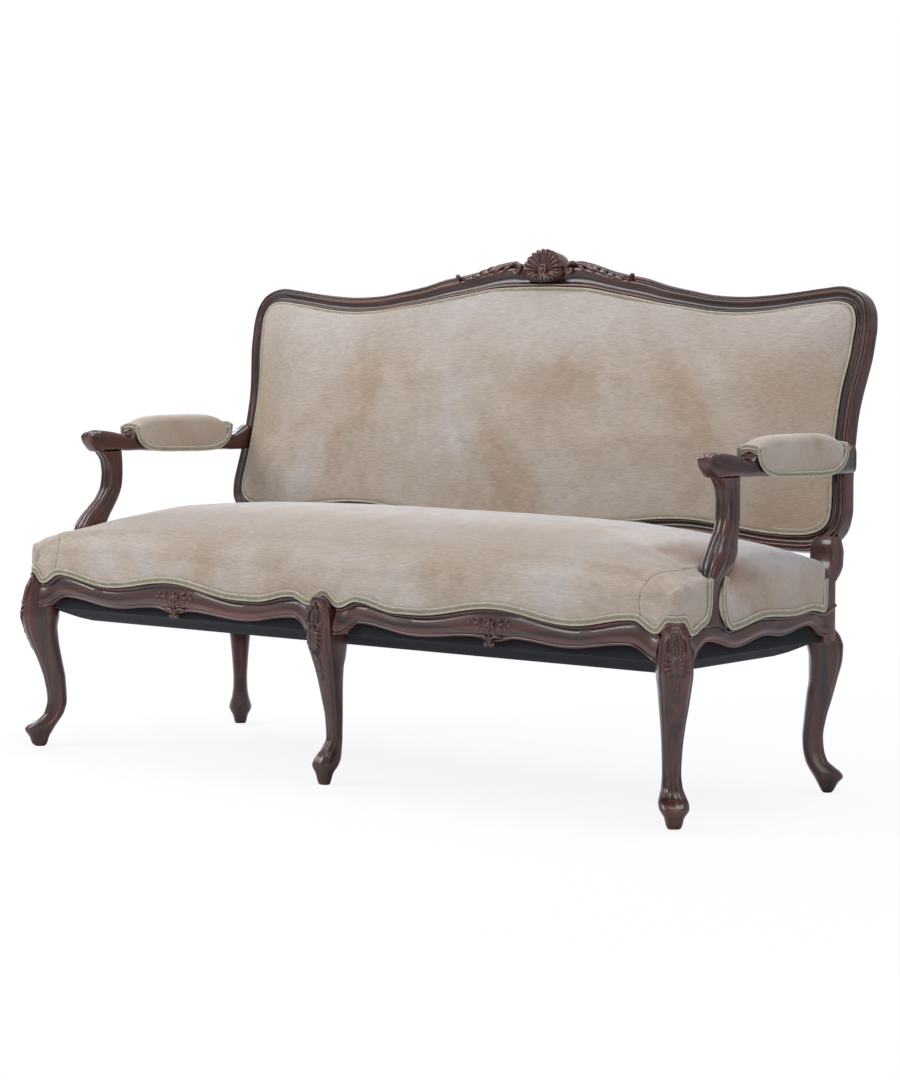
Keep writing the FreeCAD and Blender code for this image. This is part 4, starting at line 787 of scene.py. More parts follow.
# Section of a seat rail: where down its face (0 top edge, 1 lower edge), distance from that edge, distance outwards
RAIL_SECTION = [(0, 0, -8), (0, 0, -2.5), (0, -0.5, -0.4), (0, -1.6, 1.2), (0, -3.2, 2.0), (0, -4.8, 1.7), (0, -6.2, 0.6),
                (0, -7.2, -0.7), (0, -8.4, -1.0), (0.22, 0, 0.4), (0.34, 0, 2.0), (0.46, 0, 3.6), (0.58, 0, 4.6),
                (0.68, 0, 4.7), (0.78, 0, 3.6), (0.86, 0, 1.6), (1, 7.2, -0.4), (1, 6.2, -0.6), (1, 5.4, 0.6),
                (1, 4.2, 1.9), (1, 2.8, 2.2), (1, 1.4, 1.6), (1, 0.3, 0.2), (1, 0, -1.6), (1, 0, -12)]


def rail_ring(origin, outward, top, foot, flare):
    """One section of a seat rail."""
    ring = []
    for share, up, out in RAIL_SECTION:
        z = top + (foot - top) * share + up
        fall = min(1.0, max(0.0, (top - z) / (top - foot)))
        push = out + flare * (0.35 + 0.65 * fall) * (1.0 if out > -3 else 0.0)
        ring.append(origin + outward * (push * MM) + Vector((0, 0, z * MM)))
    for depth, z in ((RAIL_THICK, foot), (RAIL_THICK, RAIL_TOP), (REBATE, RAIL_TOP), (REBATE, top)):
        ring.append(origin - outward * (depth * MM) + Vector((0, 0, z * MM)))
    return ring


def front_rail(name):
    """A serpentine front rail with its mid-bay flower and curled drop."""
    rings = []
    for x in spaced(CENTRE_POST_HALF - 4, POST_IN + 6, 230):
        near = max(0.0, 1 - (POST_IN + 6 - x) / 46) ** 2.2 * 13
        near += max(0.0, 1 - (x - CENTRE_POST_HALF + 4) / 40) ** 2.2 * 17
        rings.append(rail_ring(at(x, SHOW_DEPTH, 0), Vector((0, -1, 0)), wave(FRONT_TOP, x), wave(FRONT_FOOT, x), near))
    rail = new_piece(name + " body", *skin(rings), finish("wood_x"))

    def on_face(s, z, lift):
        return at(419 + s, SHOW_DEPTH - 3.4 - lift, z)
    parts = [bead(on_face, 0, 338, 5.4, 1.0)]
    for k in range(6):
        a = math.radians(90 + 60 * k)
        petal = [(4 * math.cos(a), 338 + 4 * math.sin(a), 2.0), (10 * math.cos(a), 338 + 8.5 * math.sin(a), 4.0),
                 (15 * math.cos(a), 338 + 12 * math.sin(a), 1.6)]
        parts.append(stroke(drawn(petal, 8), on_face))
    for hand in (-1, 1):
        for s1, z1, s2, z2, r in ((18, 344, 33, 349, 3.0), (20, 338, 40, 339, 3.4), (18, 331, 34, 328, 3.0),
                                  (36, 345, 48, 347, 2.4), (42, 338, 56, 338, 2.8), (36, 331, 47, 329, 2.2),
                                  (8, 328, 18, 321, 2.6)):
            leaf = [(hand * s1, z1, 1.2), (hand * (s1 + s2) / 2, (z1 + z2) / 2 + 1, r), (hand * s2, z2, 1.0)]
            parts.append(stroke(drawn(leaf, 10), on_face))
        parts.append(bead(on_face, hand * 27, 338.5, 3.2, 1.1))
        drop = [(hand * s, z, r) for s, z, r in [(30, 314.5, 1.8), (18, 316, 2.2), (8, 314, 2.8), (3.4, 308, 3.2),
                                                 (3.0, 302, 3.4), (6.5, 299.4, 3.4), (10.5, 302, 2.8), (10.0, 305.5, 2.2)]]
        parts.append(stroke(drawn(drop, 26), on_face, height=0.95))
    parts.append(stroke(drawn([(0, 326, 1.4), (0, 316, 2.8), (0, 304, 1.6)], 12), on_face))
    return joined(name, [rail, carving(name + " flower", parts, finish("wood_x"))])


def side_top(depth):
    """Top edge of the side rail, which swells up into coves against the arm's post."""
    return wave([(d, min(z, SUPPORT_FOOT_Z)) for d, z in SIDE_TOP], depth)


def side_rail(name):
    """A serpentine side rail."""
    outward = Vector((1, SIDE_LEAN, 0)).normalized()
    rings = []
    for depth in spaced(POST_BACK - 5, REAR_POST_FRONT + 3, 170):
        flare = max(0.0, 1 - (depth - POST_BACK + 5) / 40) ** 2.2 * 12
        flare += max(0.0, 1 - (REAR_POST_FRONT + 3 - depth) / 30) ** 2.2 * 5
        rings.append(rail_ring(at(side_face(depth), depth, 0), outward, side_top(depth), wave(SIDE_FOOT, depth), flare))
    return new_piece(name, *skin(rings), finish("wood_y"))


# Back frame

def frame_rings(rows, count):
    """Sections of the moulded back frame along its stations."""
    rings = []
    for ix, iz, ox, oz in drawn([a + b for a, b in rows], count):
        width = math.hypot(ox - ix, oz - iz)
        ux, uz = (ox - ix) / width, (oz - iz) / width
        ring = [leaning(ix + ux * s * width, iz + uz * s * width, w) for s, w in FRAME_SECTION]
        ring += [leaning(ix - ux * 14, iz - uz * 14, 30), leaning(ix - ux * 14, iz - uz * 14, 9), leaning(ix, iz, 9)]
        rings.append(ring)
    return rings


def both_ways(half):
    """Stations of one half, made whole."""
    return [((-a[0], a[1]), (-b[0], b[1])) for a, b in reversed(half[1:])] + half


def on_back(lift_from):
    """Places strokes on the face of the leaning back."""
    def place(x, z, lift):
        return leaning(x, z, -lift_from - lift)
    return place


def shell_form():
    """The fluted shell of the crest, with its oval boss."""
    rings = []
    turns = spaced(0, 2 * math.pi, 241)[:-1]
    for f in spaced(0.04, 1.0, 26):
        ring = []
        for a in turns:
            up = SHELL_REACH_UP if math.sin(a) > 0 else SHELL_REACH_DOWN
            flare = 1.0 + 0.22 * max(0.0, -math.sin(a) * 2.2 * abs(math.cos(a)))
            lobes = 11 if math.sin(a) > -0.1 else 17
            flute = abs(math.cos(a * lobes + 0.4))
            edge = 1.0 + 0.035 * (flute - 0.5) * f
            x = SHELL_REACH_SIDE * flare * math.cos(a) * f * edge
            z = SHELL_Z + up * math.sin(a) * f * edge
            rise = 8.2 + 2.8 * f - 3.2 * max(0.0, f - 0.86) / 0.14 - 5.0 * math.exp(-(f / 0.30) ** 2)
            rise += 3.4 * (flute - 0.5) * min(1.0, f * 1.6)
            ring.append(leaning(x, z, -rise))
        rings.append(ring)
    for w, f in ((-2.0, 1.01), (6.0, 1.0), (27.0, 0.98), (29.0, 0.95)):
        ring = []
        for a in turns:
            up = SHELL_REACH_UP if math.sin(a) > 0 else SHELL_REACH_DOWN
            flare = 1.0 + 0.22 * max(0.0, -math.sin(a) * 2.2 * abs(math.cos(a)))
            ring.append(leaning(SHELL_REACH_SIDE * flare * math.cos(a) * f, SHELL_Z + up * math.sin(a) * f, w))
        rings.append(ring)
    return skin(rings)


def crest_carving():
    """Boss, volutes, leaves and end buds of the crest."""
    place = on_back(1.5)
    high = on_back(6.0)
    parts = []
    oval = [(8.0 * math.cos(a), SHELL_Z + 1 + 10.5 * math.sin(a), 2.2) for a in spaced(0, 2 * math.pi, 26)]
    parts.append(stroke(oval, high))
    parts.append(bead(on_back(4.0), 0, SHELL_Z + 1, 7.0, 0.9))
    for hand in (-1, 1):
        curl = [(84, 1013, 3.4), (76, 1014.5, 4.0), (68, 1011, 4.4), (63, 1003, 4.4), (65, 995, 4.2), (71.5, 991.5, 4.0),
                (77, 995, 3.6), (77, 1001, 3.2), (72.5, 1003, 3.0)]
        parts.append(stroke(drawn([(hand * x, z, r) for x, z, r in curl], 40), on_back(3.0), height=1.1))
        parts.append(bead(on_back(5.0), hand * 71.5, 999, 4.6, 1.2))
        ridge = [(80, 1013, 3.6), (100, 1011, 3.4), (124, 1004, 3.0), (150, 995.5, 2.6), (180, 987, 2.2), (212, 979.5, 1.4)]
        parts.append(stroke(drawn([(hand * x, z, r) for x, z, r in ridge], 50), place))
        for k in range(6):
            x0 = 88 + 21 * k
            z0 = wave([(60, 1014), (90, 1012), (232, 981)], x0)
            leaf = [(x0, z0 - 1, 1.6), (x0 + 11, z0 - 7 + 0.3 * k, 3.6 - 0.22 * k), (x0 + 22, z0 - 14.5 + 0.6 * k, 2.8 - 0.2 * k),
                    (x0 + 31, z0 - 21.5 + 1.4 * k, 0.8)]
            parts.append(stroke(drawn([(hand * x, z, r) for x, z, r in leaf], 14), place))
            upper = [(x0 + 2, z0 + 1.5, 1.4), (x0 + 15, z0 - 1.5, 2.8), (x0 + 30, z0 - 7, 1.0)]
            parts.append(stroke(drawn([(hand * x, z, r) for x, z, r in upper], 12), place))
        tip = [(226, 975, 1.6), (230, 981, 3.0), (233, 987, 3.8), (236, 990, 3.4)]
        parts.append(stroke(drawn([(hand * x, z, r) for x, z, r in tip], 12), on_back(2.0), height=1.1))
        parts.append(bead(on_back(1.0), hand * 234.5, 988.5, 4.4, 1.3))
    for k in range(9):
        a = math.radians(200 + 17.5 * k)
        x, z = 44 * math.cos(a) * 1.18, SHELL_Z + 22 * math.sin(a)
        ray = [(x * 0.45, SHELL_Z + (z - SHELL_Z) * 0.45, 1.4), (x * 0.8, SHELL_Z + (z - SHELL_Z) * 0.8, 2.6),
               (x * 1.12, SHELL_Z + (z - SHELL_Z) * 1.1, 1.2)]
        parts.append(stroke(drawn(ray, 10), on_back(8.0)))
    return parts


# Arms

def reeds(u, count=3):
    """Rounded reeds across a face, from -1 to 1."""
    return abs(math.cos(math.pi * count * (u + 1) / 2 + math.pi / 2)) ** 0.75


def arm_support(name):
    """The S-curved arm support with its three front reeds."""
    rings = []
    for z in spaced(352, 617, 120):
        _, x, depth, along, across = eased(SUPPORT, z)
        a, b = across / 2, along / 2
        reed = min(1.0, max(0.0, (z - 424) / 26))
        ring = []
        for turn in spaced(0, 2 * math.pi, 97)[:-1]:
            c, s = math.cos(turn), math.sin(turn)
            power = 3.4
            k = (abs(c) ** power + abs(s) ** power) ** (-1 / power)
            u, v = k * c, k * s
            dy = v * b
            if v < -0.55:
                dy += 2.6 * reed * (1 - reeds(u)) - 0.6 * reed
            rim = 0.9 * reed * math.exp(-((v + 0.45) / 0.12) ** 2)
            groove = 0.8 * reed * math.exp(-((v + 0.18) / 0.10) ** 2)
            du = u * a + (rim - groove) * math.copysign(1, u) * (abs(u) > 0.8)
            ring.append(at(x + du, depth + dy, z))
        rings.append(ring)
    return new_piece(name, *skin(rings), finish("wood_z"))


def arm_rest(name):
    """The arm rest: ridged front scroll, hollow before the pad, and rear cove."""
    rings = []
    for depth in spaced(113, 583, 190):
        _, low, high, width, x = eased(ARM, depth)
        hollow = math.exp(-((depth - 228) / 13) ** 2) * 5 + math.exp(-((depth - 538) / 12) ** 2) * 4
        ridge = min(1.0, max(0.0, (214 - depth) / 12))
        ring = []
        for turn in spaced(0, 2 * math.pi, 97)[:-1]:
            c, s = math.cos(turn), math.sin(turn)
            power = 4.2 if depth > 140 else 3.0
            k = (abs(c) ** power + abs(s) ** power) ** (-1 / power)
            u, v = k * c, k * s
            z = (low + high) / 2 + v * (high - low) / 2
            if v > 0.4:
                z -= (hollow * (1 - u * u) + ridge * 3.0 * (1 - reeds(u))) * min(1.0, (v - 0.4) / 0.35)
            ring.append(at(x + u * width / 2, depth, z))
        rings.append(ring)

    def on_top(s, depth, lift):
        return at(819 + s, depth, eased(ARM, depth)[2] + lift)
    rims = []
    for path in ([(-18, 212, 1.6), (-10, 222, 2.4), (0, 226, 2.6), (10, 222, 2.4), (18, 212, 1.6)],
                 [(-18, 222, 1.4), (-10, 234, 1.8), (0, 238, 1.8), (10, 234, 1.8), (18, 222, 1.4)]):
        rims.append(stroke(drawn(path, 20), on_top))
    return new_piece(name, *merged([skin(rings)] + rims), finish("wood_y"))


# Upholstery

def soft_copy(name, nodes, voxel, smooth, finish_key):
    """A closed soft form made from the shapes of the named nodes."""
    work = bmesh.new()
    for node in nodes:
        work.from_mesh(frame["nodes"][node].data)
    bmesh.ops.remove_doubles(work, verts=work.verts, dist=2e-5)
    mesh = bpy.data.meshes.new(name)
    work.to_mesh(mesh)
    work.free()
    piece = bpy.data.objects.new(name, mesh)
    bpy.context.scene.collection.objects.link(piece)
    melt = piece.modifiers.new("melt", "REMESH")
    melt.mode = "VOXEL"
    melt.voxel_size = voxel * MM
    soften = piece.modifiers.new("soften", "SMOOTH")
    soften.factor = 0.5
    soften.iterations = smooth
    return settled(piece, finish(finish_key))


def puffed(piece, held, pressure, cap):
    """Let the cover swell under its stuffing as cloth; held gives each point's hold from 0 to 1."""
    rest = [v.co.copy() for v in piece.data.vertices]
    hold = piece.vertex_groups.new(name="hold")
    for v in piece.data.vertices:
        weight = held(v.co)
        if weight > 0:
            hold.add([v.index], weight, "REPLACE")
    cloth = piece.modifiers.new("cloth", "CLOTH")
    settings = cloth.settings
    settings.use_pressure = True
    settings.uniform_pressure_force = pressure
    settings.vertex_group_mass = "hold"
    settings.pin_stiffness = 1.0
    settings.tension_stiffness = 25
    settings.compression_stiffness = 25
    settings.shear_stiffness = 8
    settings.bending_stiffness = 2.0
    settings.quality = 2
    settings.effector_weights.gravity = 0.0
    cloth.collision_settings.use_self_collision = False
    cloth.collision_settings.use_collision = False
    scene = bpy.context.scene
    cloth.point_cache.frame_start = 1
    cloth.point_cache.frame_end = 20
    for number in range(1, 21):
        scene.frame_set(number)
    settled(piece, None)
    scene.frame_set(1)
    for v, start in zip(piece.data.vertices, rest):
        move = v.co - start
        if move.length > cap * MM:
            v.co = start + move * (cap * MM / move.length)
    piece.vertex_groups.clear()
    piece.data.update()
    return piece


def sculpted(piece, shape):
    """Move each point of a soft piece by a function of its place and normal."""
    normals = [v.normal.copy() for v in piece.data.vertices]
    for v, normal in zip(piece.data.vertices, normals):
        v.co += normal * (shape(v.co / MM, normal) * MM)
    piece.data.update()
    return piece


def near_line(p, line):
    """Distance from p to a polyline, all in millimetres."""
    best = 1e9
    for a, b in zip(line, line[1:]):
        ab = b - a
        f = min(1.0, max(0.0, (p - a).dot(ab) / ab.length_squared))
        best = min(best, (p - a - ab * f).length)
    return best


def seat_seams():
    """Seams over the front corners: up the front face and back over the crown."""
    lines = []
    for hand in (-1, 1):
        lines.append([Vector((hand * x, FRONT_FEET_Y + d, z)) for x, d, z in
                      [(776, -16, 372), (769, -17, 404), (770, -16, 424), (776, -8, 440), (786, 8, 452),
                       (796, 40, 462), (800, 76, 466), (806, 98, 463)]])
    return lines


def seat_shape():
    """Pleats, dimples and waves of the seat's cover."""
    seams = seat_seams()
    places = [Vector((hand * 828, FRONT_FEET_Y + 112, 470)) for hand in (-1, 1)]

    def shape(p, normal):
        depth = p.y - FRONT_FEET_Y
        move = 0.0
        side = abs(p.x)
        if side > 740 and depth < 120:
            for seam in seams:
                d = near_line(p, seam)
                if d < 18:
                    move -= 2.2 * math.exp(-(d / 4.0) ** 2)
                    move += 0.9 * math.exp(-((d - 11) / 6.0) ** 2)
        if side > 828 and depth < 20 and p.z < 450:
            corner = (side - 848) * 0.5 - (depth + 4) * 0.5
            fold = math.exp(-((corner - 2) / 4.5) ** 2) - 0.9 * math.exp(-((corner + 5) / 3.2) ** 2)
            fold -= 0.6 * math.exp(-((corner - 9) / 3.0) ** 2)
            move += 3.6 * fold * min(1.0, max(0.0, (450 - p.z) / 24))
        for place in places:
            d = (Vector((p.x, p.y, p.z)) - place).length
            if d < 120:
                move -= 4.0 * math.exp(-((d - 34) / 22) ** 2)
                angle = math.atan2(p.y - place.y, p.x - place.x)
                move += 0.9 * math.exp(-((d - 56) / 26) ** 2) * math.sin(angle * 9)
        slow = noise.noise(Vector((p.x, p.y, p.z)) * 0.0042)
        fine = noise.noise(Vector((p.x * 0.018, p.y * 0.03, p.z * 0.03)))
        move += 2.4 * slow + 0.5 * fine
        if p.z < 430 and depth < 20:
            move += 0.8 * noise.noise(Vector((p.x * 0.03, 3.0, p.z * 0.006)))
        return move * (1.0 if p.z > 385 else 0.4)
    return shape


def back_shape(p, normal):
    """Slow waves of the back's cover, with drawn-in marks along its edge."""
    slow = noise.noise(Vector((p.x * 0.005, 7.0, p.z * 0.008)))
    pull = noise.noise(Vector((p.x * 0.035, 1.0, p.z * 0.02)))
    edge = math.exp(-(max(0.0, 800 - abs(p.x)) / 60)) + math.exp(-(max(0.0, p.z - 490) / 40))
    return 1.8 * slow + 0.5 * pull * edge


# Braid: a Geometry Nodes tree that follows a path and lays cords and a zigzag along it

def braid_tree():
    """Node tree for woven braid along a path that carries its outward and sideways directions."""
    tree = bpy.data.node_groups.new("Braid", "GeometryNodeTree")
    face = tree.interface
    face.new_socket("Geometry", in_out="INPUT", socket_type="NodeSocketGeometry")
    for name, value in (("Width", 0.0112), ("Thickness", 0.0016), ("Pitch", 0.0046), ("Step", 0.0019)):
        socket = face.new_socket(name, in_out="INPUT", socket_type="NodeSocketFloat")
        socket.default_value = value
    for name in ("Braid Material", "Zigzag Material"):
        face.new_socket(name, in_out="INPUT", socket_type="NodeSocketMaterial")
    face.new_socket("Geometry", in_out="OUTPUT", socket_type="NodeSocketGeometry")
    nodes = tree.nodes
    given = nodes.new("NodeGroupInput").outputs

    def sums(operation, a, b=0.0):
        return add(nodes, "ShaderNodeMath", {0: a, 1: b}, operation=operation).outputs[0]

    def vector(name):
        return add(nodes, "GeometryNodeInputNamedAttribute", {"Name": name}, data_type="FLOAT_VECTOR").outputs[0]

    def scaled(direction, length):
        made = add(nodes, "ShaderNodeVectorMath", {0: direction, "Scale": length}, operation="SCALE")
        return made.outputs[0]
    path = add(nodes, "GeometryNodeMeshToCurve", {"Mesh": given["Geometry"]}).outputs[0]
    lanes = add(nodes, "GeometryNodeResampleCurve", {"Curve": path, "Length": given["Step"]}, mode="LENGTH")
    fine = add(nodes, "GeometryNodeResampleCurve", {"Curve": path, "Length": sums("MULTIPLY", given["Pitch"], 0.17)},
               mode="LENGTH")
    run = add(nodes, "GeometryNodeSplineParameter").outputs["Length"]
    union = nodes.new("GeometryNodeJoinGeometry")

    def cord(curve, sideways, outwards, radius, sides, swell, key):
        offset = add(nodes, "ShaderNodeVectorMath", {0: scaled(vector("across"), sideways),
                                                      1: scaled(vector("outward"), outwards)}, operation="ADD").outputs[0]
        moved = add(nodes, "GeometryNodeSetPosition", {"Geometry": curve, "Offset": offset}).outputs[0]
        turn = sums("SINE", sums("MULTIPLY", sums("DIVIDE", run, given["Pitch"]), 12.566))
        moved = add(nodes, "GeometryNodeSetCurveRadius",
                    {"Curve": moved, "Radius": sums("ADD", sums("MULTIPLY", turn, swell), 1.0)}).outputs[0]
        circle = add(nodes, "GeometryNodeCurvePrimitiveCircle", {"Resolution": sides, "Radius": radius}).outputs[0]
        tube = add(nodes, "GeometryNodeCurveToMesh", {"Curve": moved, "Profile Curve": circle, "Fill Caps": True}).outputs[0]
        mark = add(nodes, "GeometryNodeStoreNamedAttribute", {"Geometry": tube, "Name": "thread", "Value": key},
                   data_type="FLOAT", domain="POINT").outputs[0]
        tree.links.new(mark, union.inputs[0])
    for lane in (-0.42, -0.14, 0.14, 0.42):
        thick = 0.19 if abs(lane) > 0.3 else 0.17
        lift = 0.65 if abs(lane) > 0.3 else 0.35
        cord(lanes.outputs[0], sums("MULTIPLY", given["Width"], lane), sums("MULTIPLY", given["Thickness"], lift),
             sums("MULTIPLY", given["Width"], thick), 6, 0.10 if abs(lane) > 0.3 else 0.0, 0.0)
    swing = sums("SUBTRACT", sums("MULTIPLY", sums("DIVIDE", sums("PINGPONG", run, sums("MULTIPLY", given["Pitch"], 0.5)),
                                                   given["Pitch"]), 2.0), 0.5)
    cord(fine.outputs[0], sums("MULTIPLY", sums("MULTIPLY", given["Width"], 0.62), swing),
         sums("MULTIPLY", given["Thickness"], 1.35), sums("MULTIPLY", given["Width"], 0.075), 5, 0.0, 1.0)
    real = add(nodes, "GeometryNodeRealizeInstances", {"Geometry": union.outputs[0]}).outputs[0]
    plain = add(nodes, "GeometryNodeSetMaterial", {"Geometry": real, "Material": given["Braid Material"]}).outputs[0]
    is_zigzag = sums("GREATER_THAN", add(nodes, "GeometryNodeInputNamedAttribute", {"Name": "thread"},
                                         data_type="FLOAT").outputs[0], 0.5)
    dressed = add(nodes, "GeometryNodeSetMaterial", {"Geometry": plain, "Selection": is_zigzag,
                                                     "Material": given["Zigzag Material"]}).outputs[0]
    tree.links.new(dressed, nodes.new("NodeGroupOutput").inputs[0])
    return tree


def braid(name, runs, closed=False, width=11.2):
    """Braid along runs of (point, outward direction), built by the node tree and settled."""
    tree = bpy.data.node_groups.get("Braid") or braid_tree()
    verts, edges, outs, acrosses = [], [], [], []
    for run in runs:
        start = len(verts)
        count = len(run)
        for i, (point, outward) in enumerate(run):
            a = run[(i - 1) % count if closed else max(i - 1, 0)][0]
            b = run[(i + 1) % count if closed else min(i + 1, count - 1)][0]
            verts.append(tuple(point))
            outs.extend(outward)
            acrosses.extend(outward.cross(b - a).normalized())
            if i:
                edges.append((start + i - 1, start + i))
        if closed:
            edges.append((start + count - 1, start))
    mesh = bpy.data.meshes.new(name)
    mesh.from_pydata(verts, edges, [])
    for key, values in (("outward", outs), ("across", acrosses)):
        mesh.attributes.new(key, "FLOAT_VECTOR", "POINT").data.foreach_set("vector", values)
    piece = bpy.data.objects.new(name, mesh)
    bpy.context.scene.collection.objects.link(piece)
    layer = piece.modifiers.new("braid", "NODES")
    layer.node_group = tree
    sockets = {item.name: item.identifier for item in tree.interface.items_tree if item.in_out == "INPUT"}
    layer[sockets["Width"]] = width * MM
    layer[sockets["Thickness"]] = 1.6 * MM
    layer[sockets["Pitch"]] = 4.6 * MM
    layer[sockets["Step"]] = 1.9 * MM
    layer[sockets["Braid Material"]] = finish("braid")
    layer[sockets["Zigzag Material"]] = finish("zigzag")
    return settled(piece, None)


def opening_path(inset, w):
    """Closed path round the back's opening, moved inwards, with its outward direction."""
    half = [a for a, _ in CREST] + [a for a, _ in STILE[1:]] + [a for a, _ in FOOT_RAIL[1:]]
    half = [(x, z) for x, z in drawn(half, 260)]
    whole = half + [(-x, z) for x, z in reversed(half[1:-1])]
    outward = (leaning(0, 0, -10) - leaning(0, 0, 0)).normalized()
    run = []
    for i, (x, z) in enumerate(whole):
        a, b = whole[i - 1], whole[(i + 1) % len(whole)]
        size = math.hypot(b[0] - a[0], b[1] - a[1])
        nx, nz = (b[1] - a[1]) / size, -(b[0] - a[0]) / size
        run.append((leaning(x + nx * inset, z + nz * inset, w), outward))
    return run


def cover_edge_front(x):
    """Lower edge of the seat cover along the front."""
    return wave([(0, KNEE_TOP)] + FRONT_TOP + [(POST_IN + KNEE_REACH, KNEE_TOP)], abs(x))


def cover_edge_side(depth):
    """Lower edge of the seat cover along a side."""
    low = [(d, min(z, SUPPORT_FOOT_Z)) for d, z in SIDE_TOP]
    return wave([(POST_BACK - KNEE_REACH, KNEE_TOP)] + low, depth)


def seat_braid_runs():
    """Paths of the seat's braid: along the front and up to the arm posts, and along each side."""
    out_side = Vector((1, SIDE_LEAN, 0)).normalized()
    front = SHOW_DEPTH - COVER_PROUD
    corner_x = side_face(front) + COVER_PROUD - CORNER_ROUND
    proud = 0.8
    up = BRAID_HALF + 0.6

    def on_side(depth, z):
        return at(side_face(depth) + COVER_PROUD + proud, depth, z)
    half = []
    for x in spaced(0, corner_x, 150):
        half.append((at(x, front - proud, cover_edge_front(x) + up), Vector((0, -1, 0))))
    for degrees in spaced(0, 88, 9)[1:-1]:
        a = math.radians(degrees)
        out = Vector((math.sin(a), -math.cos(a), 0))
        half.append((at(corner_x, front + CORNER_ROUND, KNEE_TOP + up) + out * ((CORNER_ROUND + proud) * MM), out))
    for depth in spaced(front + CORNER_ROUND, 70, 24):
        half.append((on_side(depth, cover_edge_side(depth) + up), out_side))
    for depth, z in ((78, 369), (84, 380), (87, 392), (88, 405), (88, 418), (89, 430), (92, 441)):
        half.append((on_side(depth, z), out_side))
    rear = []
    for depth, z in ((143, 440), (138, 428), (137, 412), (137, 396), (139, 382), (144, 367), (151, 356)):
        rear.append((on_side(depth, z), out_side))
    for depth in spaced(160, REAR_POST_FRONT - 12, 80):
        rear.append((on_side(depth, cover_edge_side(depth) + up), out_side))
    for depth, z in ((487, 366), (488, 378), (488, 396), (488, 414)):
        rear.append((on_side(depth, z), out_side))

    def other(run):
        return [(Vector((-p.x, p.y, p.z)), Vector((-o.x, o.y, o.z))) for p, o in reversed(run)]
    return [other(half[1:]) + half, rear, other(rear)]


def pad_braid_runs(hand):
    """Braid round the lower edge of an arm pad: both sides and over its front and back."""
    edge = drawn(PAD_EDGE, 90)
    runs = []
    for side in (-1, 1):
        run = [(at(PAD_X + side * (PAD_HALF + 0.8), d, z), Vector((side, 0, 0))) for d, z in edge]
        runs.append(run)
    arch_front = []
    arch_back = []
    for a in spaced(-90, 90, 13):
        r = math.radians(a)
        out = Vector((0, -0.9, 0.35)).normalized()
        arch_front.append((at(PAD_X + (PAD_HALF - 2) * math.sin(r), 247.5, 665 + 5 * math.cos(r)), out))
        back_out = Vector((0, 0.9, 0.35)).normalized()
        arch_back.append((at(PAD_X + (PAD_HALF - 2) * math.sin(r), 527.5, 664 + 3 * math.cos(r)), back_out))
    runs += [arch_front, arch_back]
    if hand < 0:
        runs = [[(Vector((-p.x, p.y, p.z)), Vector((-o.x, o.y, o.z))) for p, o in run] for run in runs]
    return runs


# Seam stitches follow a path too

def stitch_tree():
    """Node tree that sets small stitches along a path."""
    tree = bpy.data.node_groups.new("Stitches", "GeometryNodeTree")
    face = tree.interface
    face.new_socket("Geometry", in_out="INPUT", socket_type="NodeSocketGeometry")
    for name, value in (("Spacing", 0.0042), ("Length", 0.0032), ("Radius", 0.00055)):
        face.new_socket(name, in_out="INPUT", socket_type="NodeSocketFloat").default_value = value
    face.new_socket("Thread", in_out="INPUT", socket_type="NodeSocketMaterial")
    face.new_socket("Geometry", in_out="OUTPUT", socket_type="NodeSocketGeometry")
    nodes = tree.nodes
    given = nodes.new("NodeGroupInput").outputs
    path = add(nodes, "GeometryNodeMeshToCurve", {"Mesh": given["Geometry"]}).outputs[0]
    dots = add(nodes, "GeometryNodeCurveToPoints", {"Curve": path, "Length": given["Spacing"]}, mode="LENGTH")
    stitch = add(nodes, "GeometryNodeMeshCylinder", {"Vertices": 6, "Radius": given["Radius"],
                                                           "Depth": given["Length"]})
    rows = add(nodes, "GeometryNodeInstanceOnPoints", {"Points": dots.outputs["Points"], "Instance": stitch.outputs["Mesh"],
                                                       "Rotation": dots.outputs["Rotation"]}).outputs[0]
    real = add(nodes, "GeometryNodeRealizeInstances", {"Geometry": rows}).outputs[0]
    dressed = add(nodes, "GeometryNodeSetMaterial", {"Geometry": real, "Material": given["Thread"]}).outputs[0]
    tree.links.new(dressed, nodes.new("NodeGroupOutput").inputs[0])
    return tree


def stitches(name, runs):
    """Stitches along runs of points."""
    tree = bpy.data.node_groups.get("Stitches") or stitch_tree()
    verts, edges = [], []
    for run in runs:
        start = len(verts)
        verts += [tuple(p) for p in run]
        edges += [(start + i, start + i + 1) for i in range(len(run) - 1)]
    mesh = bpy.data.meshes.new(name)
    mesh.from_pydata(verts, edges, [])
    piece = bpy.data.objects.new(name, mesh)
    bpy.context.scene.collection.objects.link(piece)
    layer = piece.modifiers.new("stitches", "NODES")
    layer.node_group = tree
    sockets = {item.name: item.identifier for item in tree.interface.items_tree if item.in_out == "INPUT"}
    layer[sockets["Spacing"]] = 4.2 * MM
    layer[sockets["Length"]] = 3.2 * MM
    layer[sockets["Radius"]] = 0.55 * MM
    layer[sockets["Thread"]] = finish("thread")
    return settled(piece, None)


# Panel values

